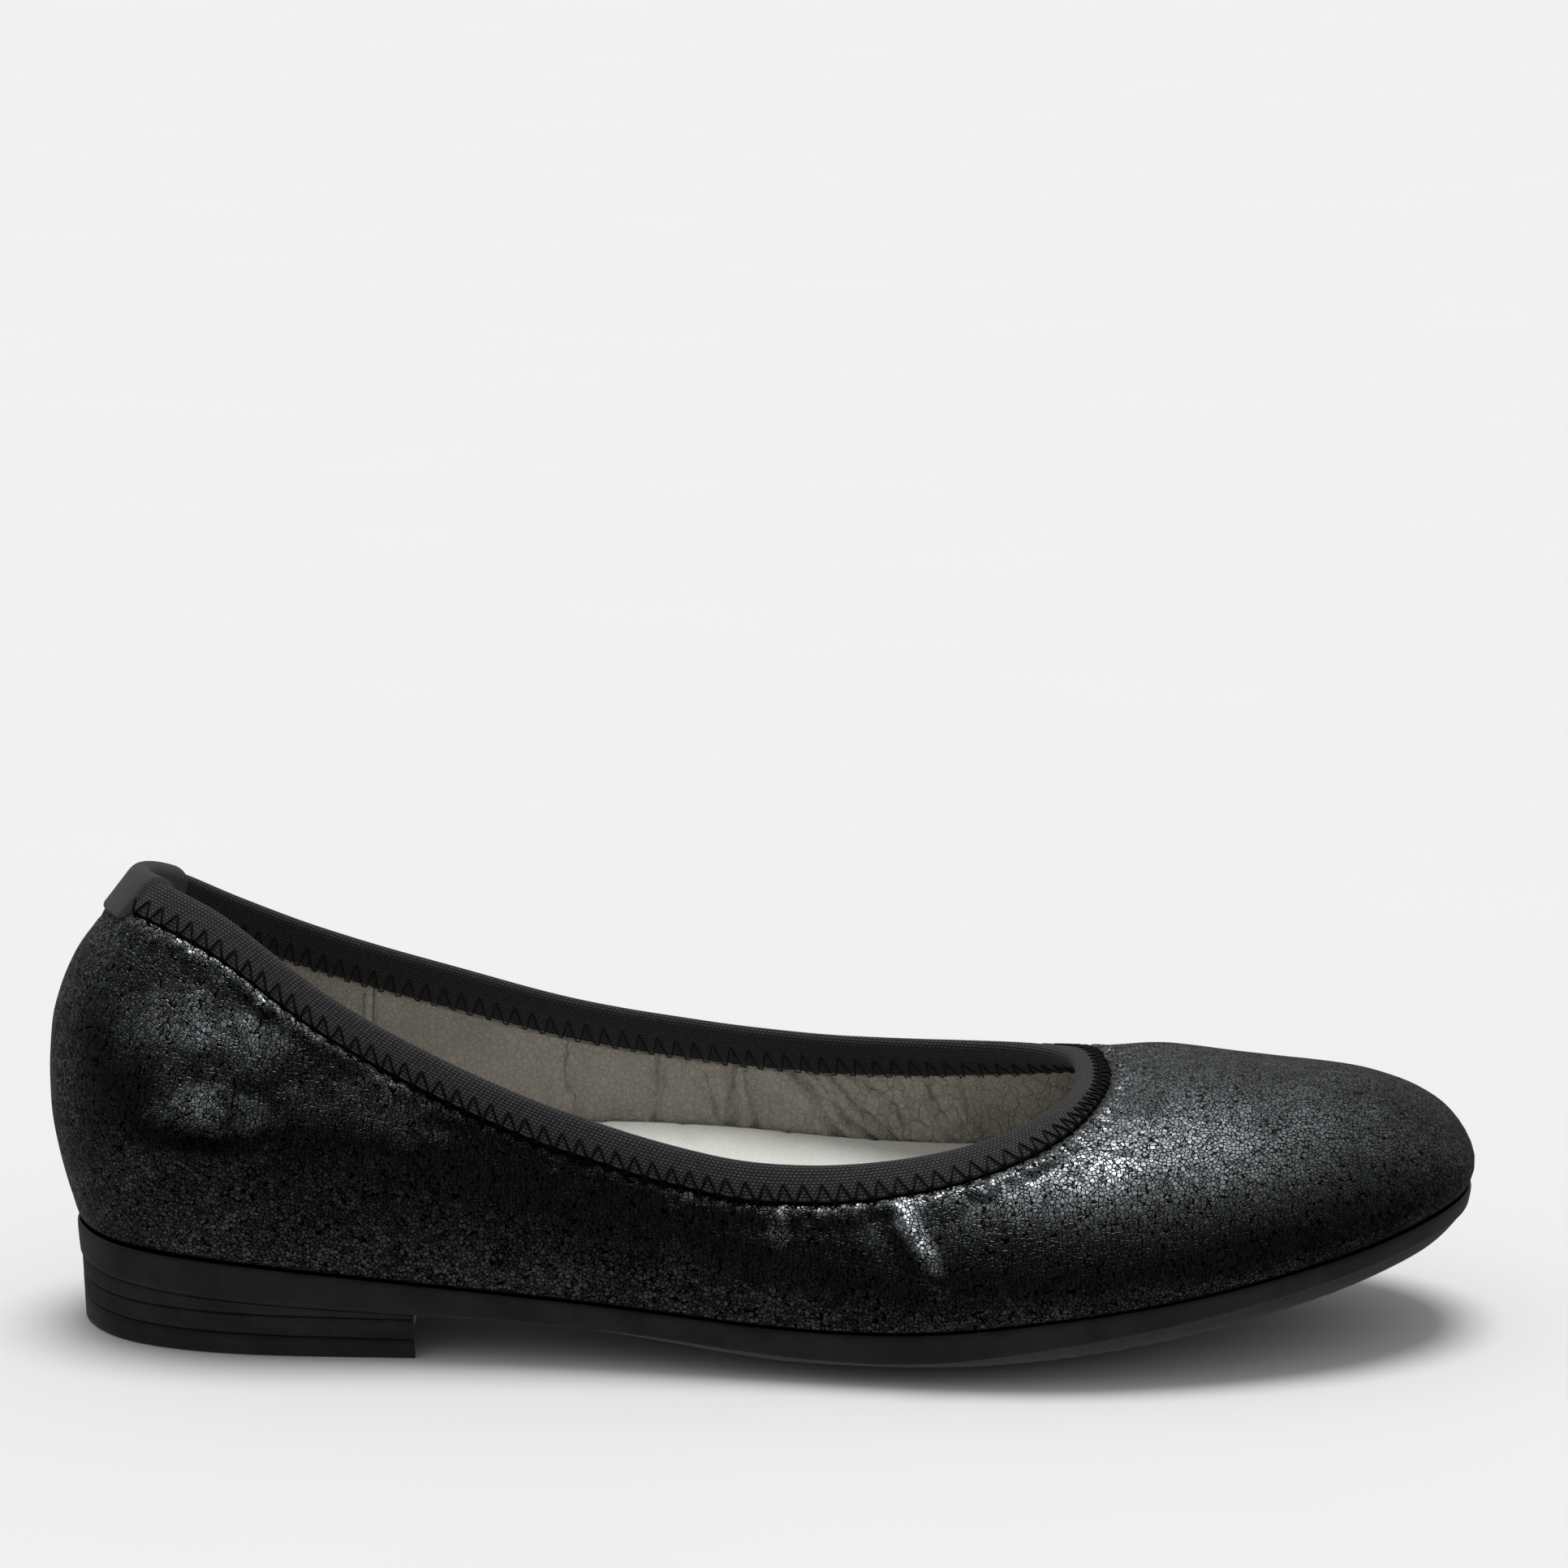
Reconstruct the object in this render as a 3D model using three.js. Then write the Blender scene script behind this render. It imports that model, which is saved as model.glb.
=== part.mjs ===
// Ballet flat (ballerina pump), right foot, about a women's EU 38.
// Millimetres, +Z up, +X towards the toe, +Y towards the medial (inner) side.
// The upper is drawn on a sculpted last surface: LAST_STATIONS lists 36 profile
// curves that start on the feather line (where the upper meets the sole) and end
// on the fold edge of the topline, from the centre back along the lateral side,
// round the toe and back along the medial side.  Every wall of the shoe (outer
// leather, stiffeners, lining, binding) is this surface moved inwards by a depth.
import * as THREE from 'three';

// ---- driving dimensions -------------------------------------------------
const OUTER_LEATHER = 1.2;        // thickness of the upper leather
const LAYER_GAP = 0.3;            // air kept between touching layers
const STIFFENER = 0.8;            // counter and toe puff
const LINING_DEPTH = 3.0;         // outer surface to the outer side of the lining
const LINING = 0.8;               // thickness of the lining leather
const BINDING_WIDTH = 6.8;        // visible width of the folded elastic binding
const BINDING_THICK = 1.0;        // one limb of the binding
const BINDING_INNER = 3.5;        // depth at which the inner limb starts
const EDGE_LEATHER = [1.35, 2.1]; // leather edge held inside the fold
const EDGE_LINING = [2.5, 3.1];   // lining edge held inside the fold
const EDGE_BELOW_FOLD = 2.6;      // raw edges stop this far under the fold
const ZIGZAG_PITCH = 3.4;         // one full zigzag
const ZIGZAG_TOP = 3.5;           // upper needle line below the fold
const ZIGZAG_BOTTOM = 7.5;        // lower needle line below the fold
const THREAD_R = 0.22;
const TAB_HALF_WIDTH = 11.0;      // ribbed tape tab at the centre back
const TAB_OUTSIDE = 9.6;          // its height outside, below the fold
const TAB_INSIDE = 10.5;
const TAB_THICK = 0.9;
const BACK_SEAM_U = 0.0;          // centre-back seam of the upper
const MEDIAL_SEAM_U = 27.3;       // short side seam in the medial waist
const HEEL_LINING_U = 5.12;       // heel lining reaches this station on both sides
// visible wall of the outsole at stations 0..18 (the heel stations end on the heel plane)
const RAND_HEIGHT = [5.2, 5.2, 5.2, 5.1, 5, 4.9, 4.6, 4.3, 4.2, 4.6, 5, 4.9, 4.4, 3.8, 3.5, 3.3, 3.2, 3.1, 3.1];
const RAND_STEP = 0.7;            // outsole stands this far outside the feather line
const TRAY_INSET = 6.0;           // recess for shank and filler inside the outsole
const TRAY_DEPTH = 2.3;
const BOARD = 2.0;                // insole board
const FOOTBED = 4.3;              // cushioning foam
const SOCK = 1.2;                 // leather sock
const SOCK_CUP_MEDIAL = 3.9;      // sock turned up along the inner arch
const SOCK_CUP_LATERAL = 1.6;
const HEEL_BREAST_X = 63.2;       // front face of the heel
const HEEL_PLANE = [12.2, -0.057];// underside of the outsole over the heel: z = a + b x
const LIFT_PLANE = [8.35, -0.0145];// between upper and lower lift
const TOP_PIECE_PLANE = [4.55, -0.0155]; // between lower lift and top piece
const HEEL_TAPER = 0.17;          // heel gets narrower downwards on its sides, mm per mm
const HEEL_TAPER_BACK = 0.03;
// x of the middle line point that each station is joined to on the flat layers
const MID_X = [20,21.5,25,31,39,51,67,86,106,126,145,161,177,192,205,215,222.5,227,228.5];
const MID_Y = [0,0,0,0,0,-0.6,-1.6,-3,-4.2,-4.8,-4.6,-3.6,-2.4,-1,0.3,1.3,2,2.6,2.8];
// underside of the outsole along the middle line, ahead of the heel
const KEEL = [[60,8.8],[66,8.5],[85,6.4],[105,3.2],[120,1.0],[129,0],[162,0],[176,1.1],[192,3.6],[205,6.6],[215,9.6],[222.5,12.2],[228.5,14.2]];

const LAST_LEVELS = [0, 0.05, 0.12, 0.22, 0.34, 0.48, 0.62, 0.75, 0.86, 0.94, 1];
const LAST_STATIONS = [
  [-0.00,0.00,18.20, -0.83,0.00,21.60, -2.17,0.00,26.32, -3.79,0.00,33.12, -4.88,0.01,41.45, -4.62,0.01,51.24, -2.75,0.01,60.85, 0.97,0.01,69.11, 5.68,0.00,75.20, 9.20,0.00,79.55, 11.60,0.00,83.00],
  [2.00,-9.00,18.20, 1.22,-9.21,21.60, -0.04,-9.54,26.33, -1.57,-9.95,33.14, -2.60,-10.20,41.47, -2.37,-10.09,51.25, -0.62,-9.55,60.87, 3.18,-8.30,68.99, 7.61,-6.82,75.11, 10.90,-5.77,79.52, 13.15,-5.10,83.00],
  [7.00,-17.00,18.00, 6.34,-17.43,21.38, 5.33,-18.09,26.08, 4.15,-18.89,32.86, 3.44,-19.44,41.13, 3.78,-19.37,50.82, 5.72,-18.22,60.23, 9.32,-15.68,68.08, 12.96,-13.15,74.28, 15.62,-11.39,78.82, 17.49,-10.24,82.36],
  [15.00,-23.20,17.70, 14.53,-23.84,20.94, 13.91,-24.72,25.48, 13.33,-25.70,32.05, 13.20,-26.33,40.03, 13.94,-26.06,49.31, 15.93,-23.76,58.12, 18.54,-20.49,65.70, 21.04,-17.51,71.93, 22.91,-15.50,76.50, 24.31,-14.19,80.01],
  [28.00,-27.60,17.00, 27.72,-28.36,19.98, 27.43,-29.22,24.21, 27.22,-30.09,30.32, 27.30,-30.54,37.72, 27.80,-30.29,46.34, 28.77,-28.38,54.69, 30.03,-25.18,61.94, 31.28,-22.16,67.90, 32.26,-20.10,72.28, 33.03,-18.77,75.66],
  [45.00,-29.20,15.60, 44.89,-29.94,18.11, 44.81,-30.68,21.70, 44.79,-31.39,26.89, 44.88,-31.77,33.16, 45.12,-31.64,40.49, 45.51,-30.86,47.76, 45.92,-28.79,54.23, 46.33,-26.51,59.50, 46.68,-24.91,63.36, 46.98,-23.90,66.32],
  [65.00,-29.60,13.70, 64.95,-30.29,15.77, 64.91,-30.91,18.77, 64.86,-31.51,23.10, 64.84,-31.86,28.34, 64.83,-31.83,34.47, 64.84,-31.19,40.55, 64.86,-30.03,46.12, 64.90,-28.82,50.78, 64.93,-27.90,54.16, 64.97,-27.23,56.69],
  [85.00,-31.00,12.10, 84.93,-31.65,13.83, 84.85,-32.19,16.36, 84.73,-32.69,20.02, 84.60,-32.96,24.45, 84.46,-32.88,29.62, 84.33,-32.30,34.76, 84.21,-31.43,39.49, 84.11,-30.53,43.45, 84.04,-29.82,46.33, 84.00,-29.27,48.48],
  [105.00,-33.60,10.60, 104.89,-34.24,12.09, 104.74,-34.73,14.31, 104.52,-35.14,17.54, 104.27,-35.30,21.45, 103.98,-35.03,25.99, 103.71,-34.33,30.50, 103.46,-33.40,34.63, 103.26,-32.47,38.09, 103.11,-31.74,40.59, 102.99,-31.17,42.46],
  [125.00,-37.20,9.20, 124.82,-37.88,10.56, 124.56,-38.34,12.65, 124.18,-38.64,15.69, 123.74,-38.62,19.36, 123.22,-38.04,23.61, 122.73,-37.01,27.76, 122.27,-35.76,31.54, 121.90,-34.55,34.69, 121.62,-33.63,36.95, 121.42,-32.92,38.65],
  [145.00,-40.50,9.00, 144.71,-41.29,10.36, 144.22,-41.74,12.52, 143.50,-41.90,15.66, 142.63,-41.57,19.42, 141.61,-40.49,23.69, 140.60,-38.80,27.75, 139.68,-36.87,31.37, 138.93,-35.08,34.34, 138.39,-33.75,36.49, 137.99,-32.74,38.09],
  [162.00,-42.00,10.20, 161.60,-42.97,11.57, 160.85,-43.46,13.85, 159.72,-43.51,17.14, 158.33,-42.87,21.04, 156.70,-41.34,25.39, 155.09,-39.06,29.39, 153.64,-36.50,32.85, 152.46,-34.16,35.66, 151.62,-32.40,37.66, 151.00,-31.08,39.16],
  [180.00,-41.40,12.40, 179.45,-42.60,13.81, 178.24,-43.21,16.20, 176.32,-43.21,19.60, 173.93,-42.33,23.54, 171.15,-40.43,27.86, 168.40,-37.72,31.75, 165.93,-34.70,35.02, 163.92,-31.92,37.63, 162.50,-29.83,39.49, 161.46,-28.25,40.88],
  [198.00,-38.30,14.80, 197.32,-39.80,16.39, 195.58,-40.61,18.98, 192.67,-40.75,22.56, 188.93,-39.85,26.53, 184.50,-37.74,30.73, 180.13,-34.78,34.45, 176.17,-31.38,37.41, 172.93,-28.22,39.73, 170.66,-25.83,41.39, 169.00,-24.02,42.67],
  [215.00,-33.00,17.80, 214.31,-34.81,19.71, 212.03,-35.85,22.63, 208.03,-36.19,26.37, 202.78,-35.37,30.28, 196.50,-33.27,34.20, 190.27,-30.26,37.56, 184.56,-26.71,39.97, 179.86,-23.31,41.72, 176.54,-20.73,43.05, 174.12,-18.78,44.15],
  [230.00,-25.60,20.70, 229.61,-27.63,23.13, 226.94,-28.91,26.55, 221.91,-29.48,30.55, 215.17,-28.92,34.34, 207.04,-27.12,37.85, 198.89,-24.40,40.70, 191.39,-21.13,42.55, 185.12,-17.85,43.48, 180.64,-15.33,44.28, 177.36,-13.41,45.16],
  [241.00,-17.00,23.20, 241.16,-18.95,26.17, 238.34,-20.37,30.20, 232.56,-21.11,34.55, 224.69,-20.84,38.28, 215.08,-19.55,41.27, 205.41,-17.45,43.48, 196.45,-14.84,44.85, 188.90,-12.07,44.94, 183.37,-9.89,45.14, 179.33,-8.23,45.73],
  [248.30,-7.60,25.00, 249.15,-9.02,28.48, 246.33,-10.22,33.20, 240.00,-10.97,37.90, 231.29,-11.10,41.61, 220.62,-10.60,44.19, 209.82,-9.60,45.69, 199.74,-8.10,46.61, 191.16,-6.28,46.00, 184.72,-4.78,45.63, 180.04,-3.60,45.96],
  [251.09,3.50,25.55, 252.54,3.17,29.39, 250.09,2.82,35.05, 243.57,2.56,40.44, 234.37,2.33,44.25, 223.11,1.52,46.16, 211.84,0.45,47.00, 201.26,-0.06,47.67, 192.13,0.14,46.77, 185.20,0.50,46.09, 180.15,0.84,46.24],
  [249.49,14.06,25.08, 251.11,15.02,28.90, 248.94,15.89,35.05, 242.25,16.04,40.61, 232.75,15.46,44.02, 221.45,14.08,45.40, 210.44,11.91,46.38, 200.54,8.72,47.52, 191.75,6.71,47.00, 185.00,5.65,46.50, 180.04,4.97,46.60],
  [243.53,23.03,23.77, 244.53,24.78,27.14, 242.04,26.10,32.34, 235.93,26.16,37.58, 227.46,24.88,41.68, 217.24,22.23,44.29, 207.10,19.12,46.01, 197.72,16.16,47.46, 189.65,13.48,47.09, 183.71,11.34,46.73, 179.45,9.42,46.87],
  [234.00,30.00,21.80, 234.30,32.04,24.69, 231.71,33.26,29.14, 226.42,33.13,34.06, 219.25,31.56,38.63, 210.57,28.55,42.43, 201.77,24.91,45.11, 193.52,21.30,46.64, 186.48,18.06,46.51, 181.37,15.62,46.47, 177.58,13.77,46.88],
  [220.00,35.20,19.00, 219.78,37.09,21.40, 217.48,38.03,25.14, 213.23,37.83,29.68, 207.55,36.38,34.33, 200.61,33.65,38.76, 193.51,30.17,42.24, 186.78,26.32,44.22, 181.10,22.76,45.03, 176.98,20.18,45.76, 173.94,18.32,46.63],
  [203.00,38.00,16.40, 202.56,39.55,18.39, 200.70,40.17,21.51, 197.47,39.88,25.59, 193.20,38.56,29.98, 188.01,36.16,34.48, 182.72,33.12,38.45, 177.73,29.58,41.31, 173.53,26.36,43.41, 170.49,24.01,44.99, 168.23,22.32,46.30],
  [185.00,38.00,14.40, 184.57,39.29,16.12, 183.19,39.73,18.89, 180.85,39.44,22.69, 177.83,38.32,26.97, 174.20,36.32,31.65, 170.52,33.70,35.94, 167.07,30.75,39.55, 164.15,28.05,42.43, 162.04,26.06,44.52, 160.46,24.58,46.09],
  [166.00,35.40,13.60, 165.65,36.50,15.16, 164.71,36.95,17.71, 163.17,36.84,21.33, 161.21,36.05,25.55, 158.87,34.53,30.31, 156.51,32.45,34.83, 154.31,30.17,38.85, 152.44,28.07,42.16, 151.08,26.49,44.52, 150.05,25.29,46.27],
  [148.00,31.00,14.80, 147.71,31.95,16.24, 147.08,32.46,18.58, 146.07,32.63,21.97, 144.80,32.28,26.01, 143.28,31.36,30.64, 141.74,30.00,35.15, 140.30,28.45,39.24, 139.07,26.98,42.63, 138.16,25.84,45.06, 137.48,24.95,46.87],
  [128.00,26.20,17.80, 127.82,27.05,19.15, 127.46,27.64,21.29, 126.88,28.06,24.43, 126.14,28.13,28.23, 125.24,27.78,32.63, 124.30,27.07,36.99, 123.42,26.17,40.99, 122.66,25.25,44.33, 122.09,24.51,46.73, 121.66,23.91,48.52],
  [108.00,23.00,20.20, 107.91,23.76,21.58, 107.70,24.37,23.71, 107.37,24.91,26.83, 106.92,25.21,30.60, 106.35,25.22,35.02, 105.75,24.92,39.42, 105.16,24.42,43.48, 104.65,23.83,46.88, 104.26,23.32,49.35, 103.96,22.89,51.18],
  [88.00,21.80,20.80, 87.98,22.52,22.36, 87.92,23.14,24.68, 87.78,23.75,28.06, 87.59,24.16,32.16, 87.32,24.28,36.97, 87.02,24.09,41.77, 86.70,23.66,46.21, 86.42,23.14,49.94, 86.20,22.67,52.65, 86.03,22.27,54.66],
  [68.00,22.80,19.80, 68.04,23.51,21.69, 68.07,24.18,24.44, 68.11,24.83,28.42, 68.13,25.28,33.25, 68.15,25.38,38.90, 68.12,24.93,44.53, 68.07,24.11,49.72, 68.02,23.24,54.08, 67.99,22.55,57.23, 67.96,22.03,59.60],
  [48.00,25.20,18.60, 47.98,25.90,20.85, 47.99,26.62,24.06, 48.07,27.35,28.72, 48.24,27.81,34.35, 48.53,27.84,40.93, 48.88,27.19,47.48, 49.19,25.67,53.40, 49.49,24.08,58.32, 49.76,22.94,61.91, 49.99,22.17,64.62],
  [30.00,26.00,18.20, 29.80,26.69,20.84, 29.61,27.50,24.58, 29.49,28.35,29.99, 29.60,28.90,36.54, 30.05,28.90,44.19, 30.79,27.51,51.67, 31.70,24.90,58.23, 32.61,22.41,63.64, 33.35,20.74,67.62, 33.96,19.68,70.67],
  [16.00,23.00,18.20, 15.58,23.60,21.19, 15.03,24.44,25.39, 14.49,25.41,31.45, 14.32,26.11,38.80, 15.00,25.59,47.36, 16.68,23.30,55.49, 18.82,20.38,62.63, 20.89,17.79,68.54, 22.47,16.05,72.88, 23.68,14.92,76.18],
  [7.00,16.60,18.20, 6.36,17.00,21.46, 5.37,17.63,25.99, 4.19,18.39,32.53, 3.42,18.94,40.50, 3.67,18.87,49.85, 5.97,17.23,58.74, 9.44,14.71,66.30, 12.79,12.37,72.42, 15.23,10.78,76.91, 16.97,9.73,80.37],
  [2.00,9.00,18.20, 1.22,9.18,21.58, -0.05,9.47,26.27, -1.61,9.81,33.04, -2.69,9.96,41.31, -2.55,9.73,51.03, -0.81,9.04,60.56, 3.20,7.62,68.51, 7.58,6.13,74.60, 10.78,5.09,79.03, 12.99,4.40,82.50],
];

// ---- colours (linear look of each material) -------------------------------
const BLACK_LEATHER = { color: 0x1d1e20, roughness: 0.6, metalness: 0.15 };
const ELASTIC = { color: 0x2a2b2d, roughness: 0.9, metalness: 0 };
const THREAD = { color: 0x1a1a1b, roughness: 0.8, metalness: 0 };
const LINING_LEATHER = { color: 0x8d8780, roughness: 0.85, metalness: 0 };
const SOCK_LEATHER = { color: 0xe4e3dc, roughness: 0.8, metalness: 0 };
const RUBBER = { color: 0x1b1b1c, roughness: 0.65, metalness: 0 };
const STACK = { color: 0x242425, roughness: 0.75, metalness: 0 };
const FIBRE = { color: 0x9a8460, roughness: 0.9, metalness: 0 };
const FOAM = { color: 0xd9cfae, roughness: 0.95, metalness: 0 };
const CORK = { color: 0xa9794c, roughness: 0.95, metalness: 0 };
const STEEL = { color: 0x8b9096, roughness: 0.4, metalness: 1 };

// ---- last surface ----------------------------------------------------------
const NS = 36, WRAP = 8, NL = LAST_LEVELS.length;

function naturalSpline(xs, ys) {
  const n = xs.length, m = new Array(n).fill(0), c = new Array(n).fill(0), d = new Array(n).fill(0);
  for (let i = 1; i < n - 1; i++) {
    const h0 = xs[i] - xs[i - 1], h1 = xs[i + 1] - xs[i];
    const r = 6 * ((ys[i + 1] - ys[i]) / h1 - (ys[i] - ys[i - 1]) / h0);
    const b = 2 * (h0 + h1) - h0 * c[i - 1];
    c[i] = h1 / b; d[i] = (r - h0 * d[i - 1]) / b;
  }
  for (let i = n - 2; i > 0; i--) m[i] = d[i] - c[i] * m[i + 1];
  return (x) => {
    let lo = 0, hi = n - 1;
    while (hi - lo > 1) { const k = (lo + hi) >> 1; if (xs[k] > x) hi = k; else lo = k; }
    const h = xs[hi] - xs[lo], a = (xs[hi] - x) / h, b = (x - xs[lo]) / h;
    return a * ys[lo] + b * ys[hi] + ((a * a * a - a) * m[lo] + (b * b * b - b) * m[hi]) * h * h / 6;
  };
}
const around = (u) => ((u % NS) + NS) % NS;
const wrapX = Array.from({ length: NS + 2 * WRAP + 1 }, (_, i) => i - WRAP);
const periodic = (values) => {
  const s = naturalSpline(wrapX, wrapX.map((i) => values[around(i)]));
  return (u) => s(around(u));
};
const levelCurves = [];
for (let j = 0; j < NL; j++) {
  levelCurves.push([0, 1, 2].map((k) => periodic(LAST_STATIONS.map((row) => row[3 * j + k]))));
}
const columns = new Map();
function column(u) {
  const key = around(u).toFixed(5);
  if (!columns.has(key)) {
    const f = [0, 1, 2].map((k) => naturalSpline(LAST_LEVELS, levelCurves.map((c) => c[k](u))));
    let length = 0, prev = null; const n = 60;
    for (let i = 0; i <= n; i++) {
      const p = new THREE.Vector3(f[0](i / n), f[1](i / n), f[2](i / n));
      if (prev) length += p.distanceTo(prev);
      prev = p;
    }
    columns.set(key, { f, length });
  }
  return columns.get(key);
}
const P = (u, v) => { const { f } = column(u); return new THREE.Vector3(f[0](v), f[1](v), f[2](v)); };
const girth = (u) => column(u).length;           // feather line to fold edge
function tangents(u, v) {
  const e = 1e-3;
  const du = P(u + e, v).sub(P(u - e, v)).normalize();
  const dv = P(u, Math.min(v + e, 1)).sub(P(u, Math.max(v - e, 0))).normalize();
  return { du, dv, n: new THREE.Vector3().crossVectors(du, dv).normalize() };
}
const wall = (u, v, depth) => P(u, v).addScaledVector(tangents(u, v).n, -depth);
// point l mm below the fold edge (above it when negative), depth mm inside the surface
function fromFold(u, l, depth) {
  if (l >= 0) return wall(u, Math.max(0, 1 - l / girth(u)), depth);
  const { dv, n } = tangents(u, 1);
  return P(u, 1).addScaledVector(n, -depth).addScaledVector(dv, -l);
}
const smooth = (a, b, x) => { const t = Math.min(1, Math.max(0, (x - a) / (b - a))); return t * t * (3 - 2 * t); };
const mix = (a, b, t) => a + (b - a) * t;
const range = (a, b, n) => Array.from({ length: n + 1 }, (_, i) => a + (b - a) * i / n);

// ---- closed solids ----------------------------------------------------------
function solid(name, look, points, faces) {
  const pos = new Float32Array(points.length * 3);
  points.forEach((p, i) => { pos[3 * i] = p.x; pos[3 * i + 1] = p.y; pos[3 * i + 2] = p.z; });
  let volume = 0;
  for (const [a, b, c] of faces) volume += points[a].dot(new THREE.Vector3().crossVectors(points[b], points[c]));
  const index = volume < 0 ? faces.flatMap(([a, b, c]) => [a, c, b]) : faces.flat();
  const g = new THREE.BufferGeometry();
  g.setAttribute('position', new THREE.BufferAttribute(pos, 3));
  g.setIndex(index);
  g.computeVertexNormals();
  const mesh = new THREE.Mesh(g, new THREE.MeshStandardMaterial(look));
  mesh.name = name;
  return mesh;
}
// two grids of the same size (outer skin, inner skin) closed along their borders
function shell(name, look, outer, inner) {
  const nu = outer.length, nv = outer[0].length, points = [], faces = [];
  for (const g of [outer, inner]) for (const col of g) for (const p of col) points.push(p);
  const o = (i, j) => i * nv + j, q = (i, j) => nu * nv + i * nv + j;
  const quad = (a, b, c, d) => { faces.push([a, b, c], [a, c, d]); };
  for (let i = 0; i < nu - 1; i++) for (let j = 0; j < nv - 1; j++) {
    quad(o(i, j), o(i + 1, j), o(i + 1, j + 1), o(i, j + 1));
    quad(q(i, j), q(i, j + 1), q(i + 1, j + 1), q(i + 1, j));
  }
  for (let i = 0; i < nu - 1; i++) {
    quad(o(i, 0), q(i, 0), q(i + 1, 0), o(i + 1, 0));
    quad(o(i, nv - 1), o(i + 1, nv - 1), q(i + 1, nv - 1), q(i, nv - 1));
  }
  for (let j = 0; j < nv - 1; j++) {
    quad(o(0, j), o(0, j + 1), q(0, j + 1), q(0, j));
    quad(o(nu - 1, j), q(nu - 1, j), q(nu - 1, j + 1), o(nu - 1, j + 1));
  }
  return solid(name, look, points, faces);
}
// closed sections swept along a line; closed = the line returns to its start
function sweep(name, look, sections, closed) {
  const n = sections.length, k = sections[0].length, points = sections.flat(), faces = [];
  const at = (i, j) => (i % n) * k + (j % k);
  for (let i = 0; i < (closed ? n : n - 1); i++) for (let j = 0; j < k; j++) {
    faces.push([at(i, j), at(i + 1, j), at(i + 1, j + 1)], [at(i, j), at(i + 1, j + 1), at(i, j + 1)]);
  }
  if (!closed) {
    const flat = (sec, flip) => {
      const a = sec[0], e1 = new THREE.Vector3(), nrm = new THREE.Vector3();
      for (let j = 0; j < k; j++) nrm.add(new THREE.Vector3().crossVectors(sec[j].clone().sub(a), sec[(j + 1) % k].clone().sub(a)));
      nrm.normalize(); e1.copy(sec[1]).sub(a).normalize();
      const e2 = new THREE.Vector3().crossVectors(nrm, e1);
      const pts = sec.map((p) => new THREE.Vector2(p.clone().sub(a).dot(e1), p.clone().sub(a).dot(e2)));
      return THREE.ShapeUtils.triangulateShape(pts, []).map((t) => (flip ? [t[0], t[2], t[1]] : t));
    };
    for (const [a, b, c] of flat(sections[0], false)) faces.push([a, b, c]);
    const base = (n - 1) * k;
    for (const [a, b, c] of flat(sections[n - 1], true)) faces.push([base + a, base + b, base + c]);
  }
  return solid(name, look, points, faces);
}
// flat layer of the bottom: rings from the rim to the middle line
const midX = periodic(Array.from({ length: NS }, (_, i) => MID_X[i <= 18 ? i : 36 - i]));
const randAt = periodic(Array.from({ length: NS }, (_, i) => RAND_HEIGHT[i <= 18 ? i : 36 - i]));
const midY = periodic(Array.from({ length: NS }, (_, i) => MID_Y[i <= 18 ? i : 36 - i]));
function layer(name, look, { stations = 48, topRings, bottomRings, rimTop, rimBottom = rimTop, top, bottom }) {
  const us = Array.from({ length: stations }, (_, i) => i * NS / stations);
  const points = [], faces = [];
  const make = (rings, rim, height) => us.map((u, i) => {
    const e = rim(u), cx = midX(u), cy = midY(u), f = feather(u);
    const scale = Math.hypot(e.x - cx, e.y - cy) / Math.hypot(f.x - cx, f.y - cy);
    return rings.map((r) => {
      if (r === 0 && i > stations / 2) return -1;
      const x = mix(cx, e.x, r), y = mix(cy, e.y, r);
      points.push(new THREE.Vector3(x, y, height(u, r * scale, x, y)));
      return points.length - 1;
    });
  });
  const tops = make(topRings, rimTop, top), bots = make(bottomRings, rimBottom, bottom);
  for (const g of [tops, bots]) for (let i = stations / 2 + 1; i < stations; i++) {
    g[i][g[i].length - 1] = g[stations - i][g[0].length - 1];
  }
  const quad = (a, b, c, d) => {
    if (a !== b && b !== c && c !== a) faces.push([a, b, c]);
    if (a !== c && c !== d && d !== a) faces.push([a, c, d]);
  };
  for (let i = 0; i < stations; i++) {
    const k = (i + 1) % stations;
    for (let j = 0; j < topRings.length - 1; j++) quad(tops[i][j], tops[k][j], tops[k][j + 1], tops[i][j + 1]);
    for (let j = 0; j < bottomRings.length - 1; j++) quad(bots[i][j], bots[i][j + 1], bots[k][j + 1], bots[k][j]);
    quad(bots[i][0], bots[k][0], tops[k][0], tops[i][0]);
  }
  return solid(name, look, points, faces);
}

// ---- plan helpers -------------------------------------------------------------
const feather = (u) => P(u, 0);
function outward(u) {                                   // plan normal of the feather line
  const t = feather(u + 0.01).sub(feather(u - 0.01)); t.z = 0; t.normalize();
  return new THREE.Vector3(t.y, -t.x, 0);
}
const featherOffset = (u, d) => feather(u).addScaledVector(outward(u), d);
// height of the feather line blended across the width
function seatZ(u, r) {
  const a = feather(u).z, b = feather(NS - u).z;
  return mix((a + b) / 2, a, r);
}
// inner face of the lining at a height above the feather line
function insideWall(u, h, clearance) {
  const z0 = feather(u).z + h; let v = 0;
  while (v < 0.6 && P(u, v).z < z0) v += 0.004;
  const w = wall(u, v, LINING_DEPTH + LINING + clearance);
  return w;
}

const shoe = new THREE.Group();
const add = (m) => { shoe.add(m); return m; };

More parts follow.
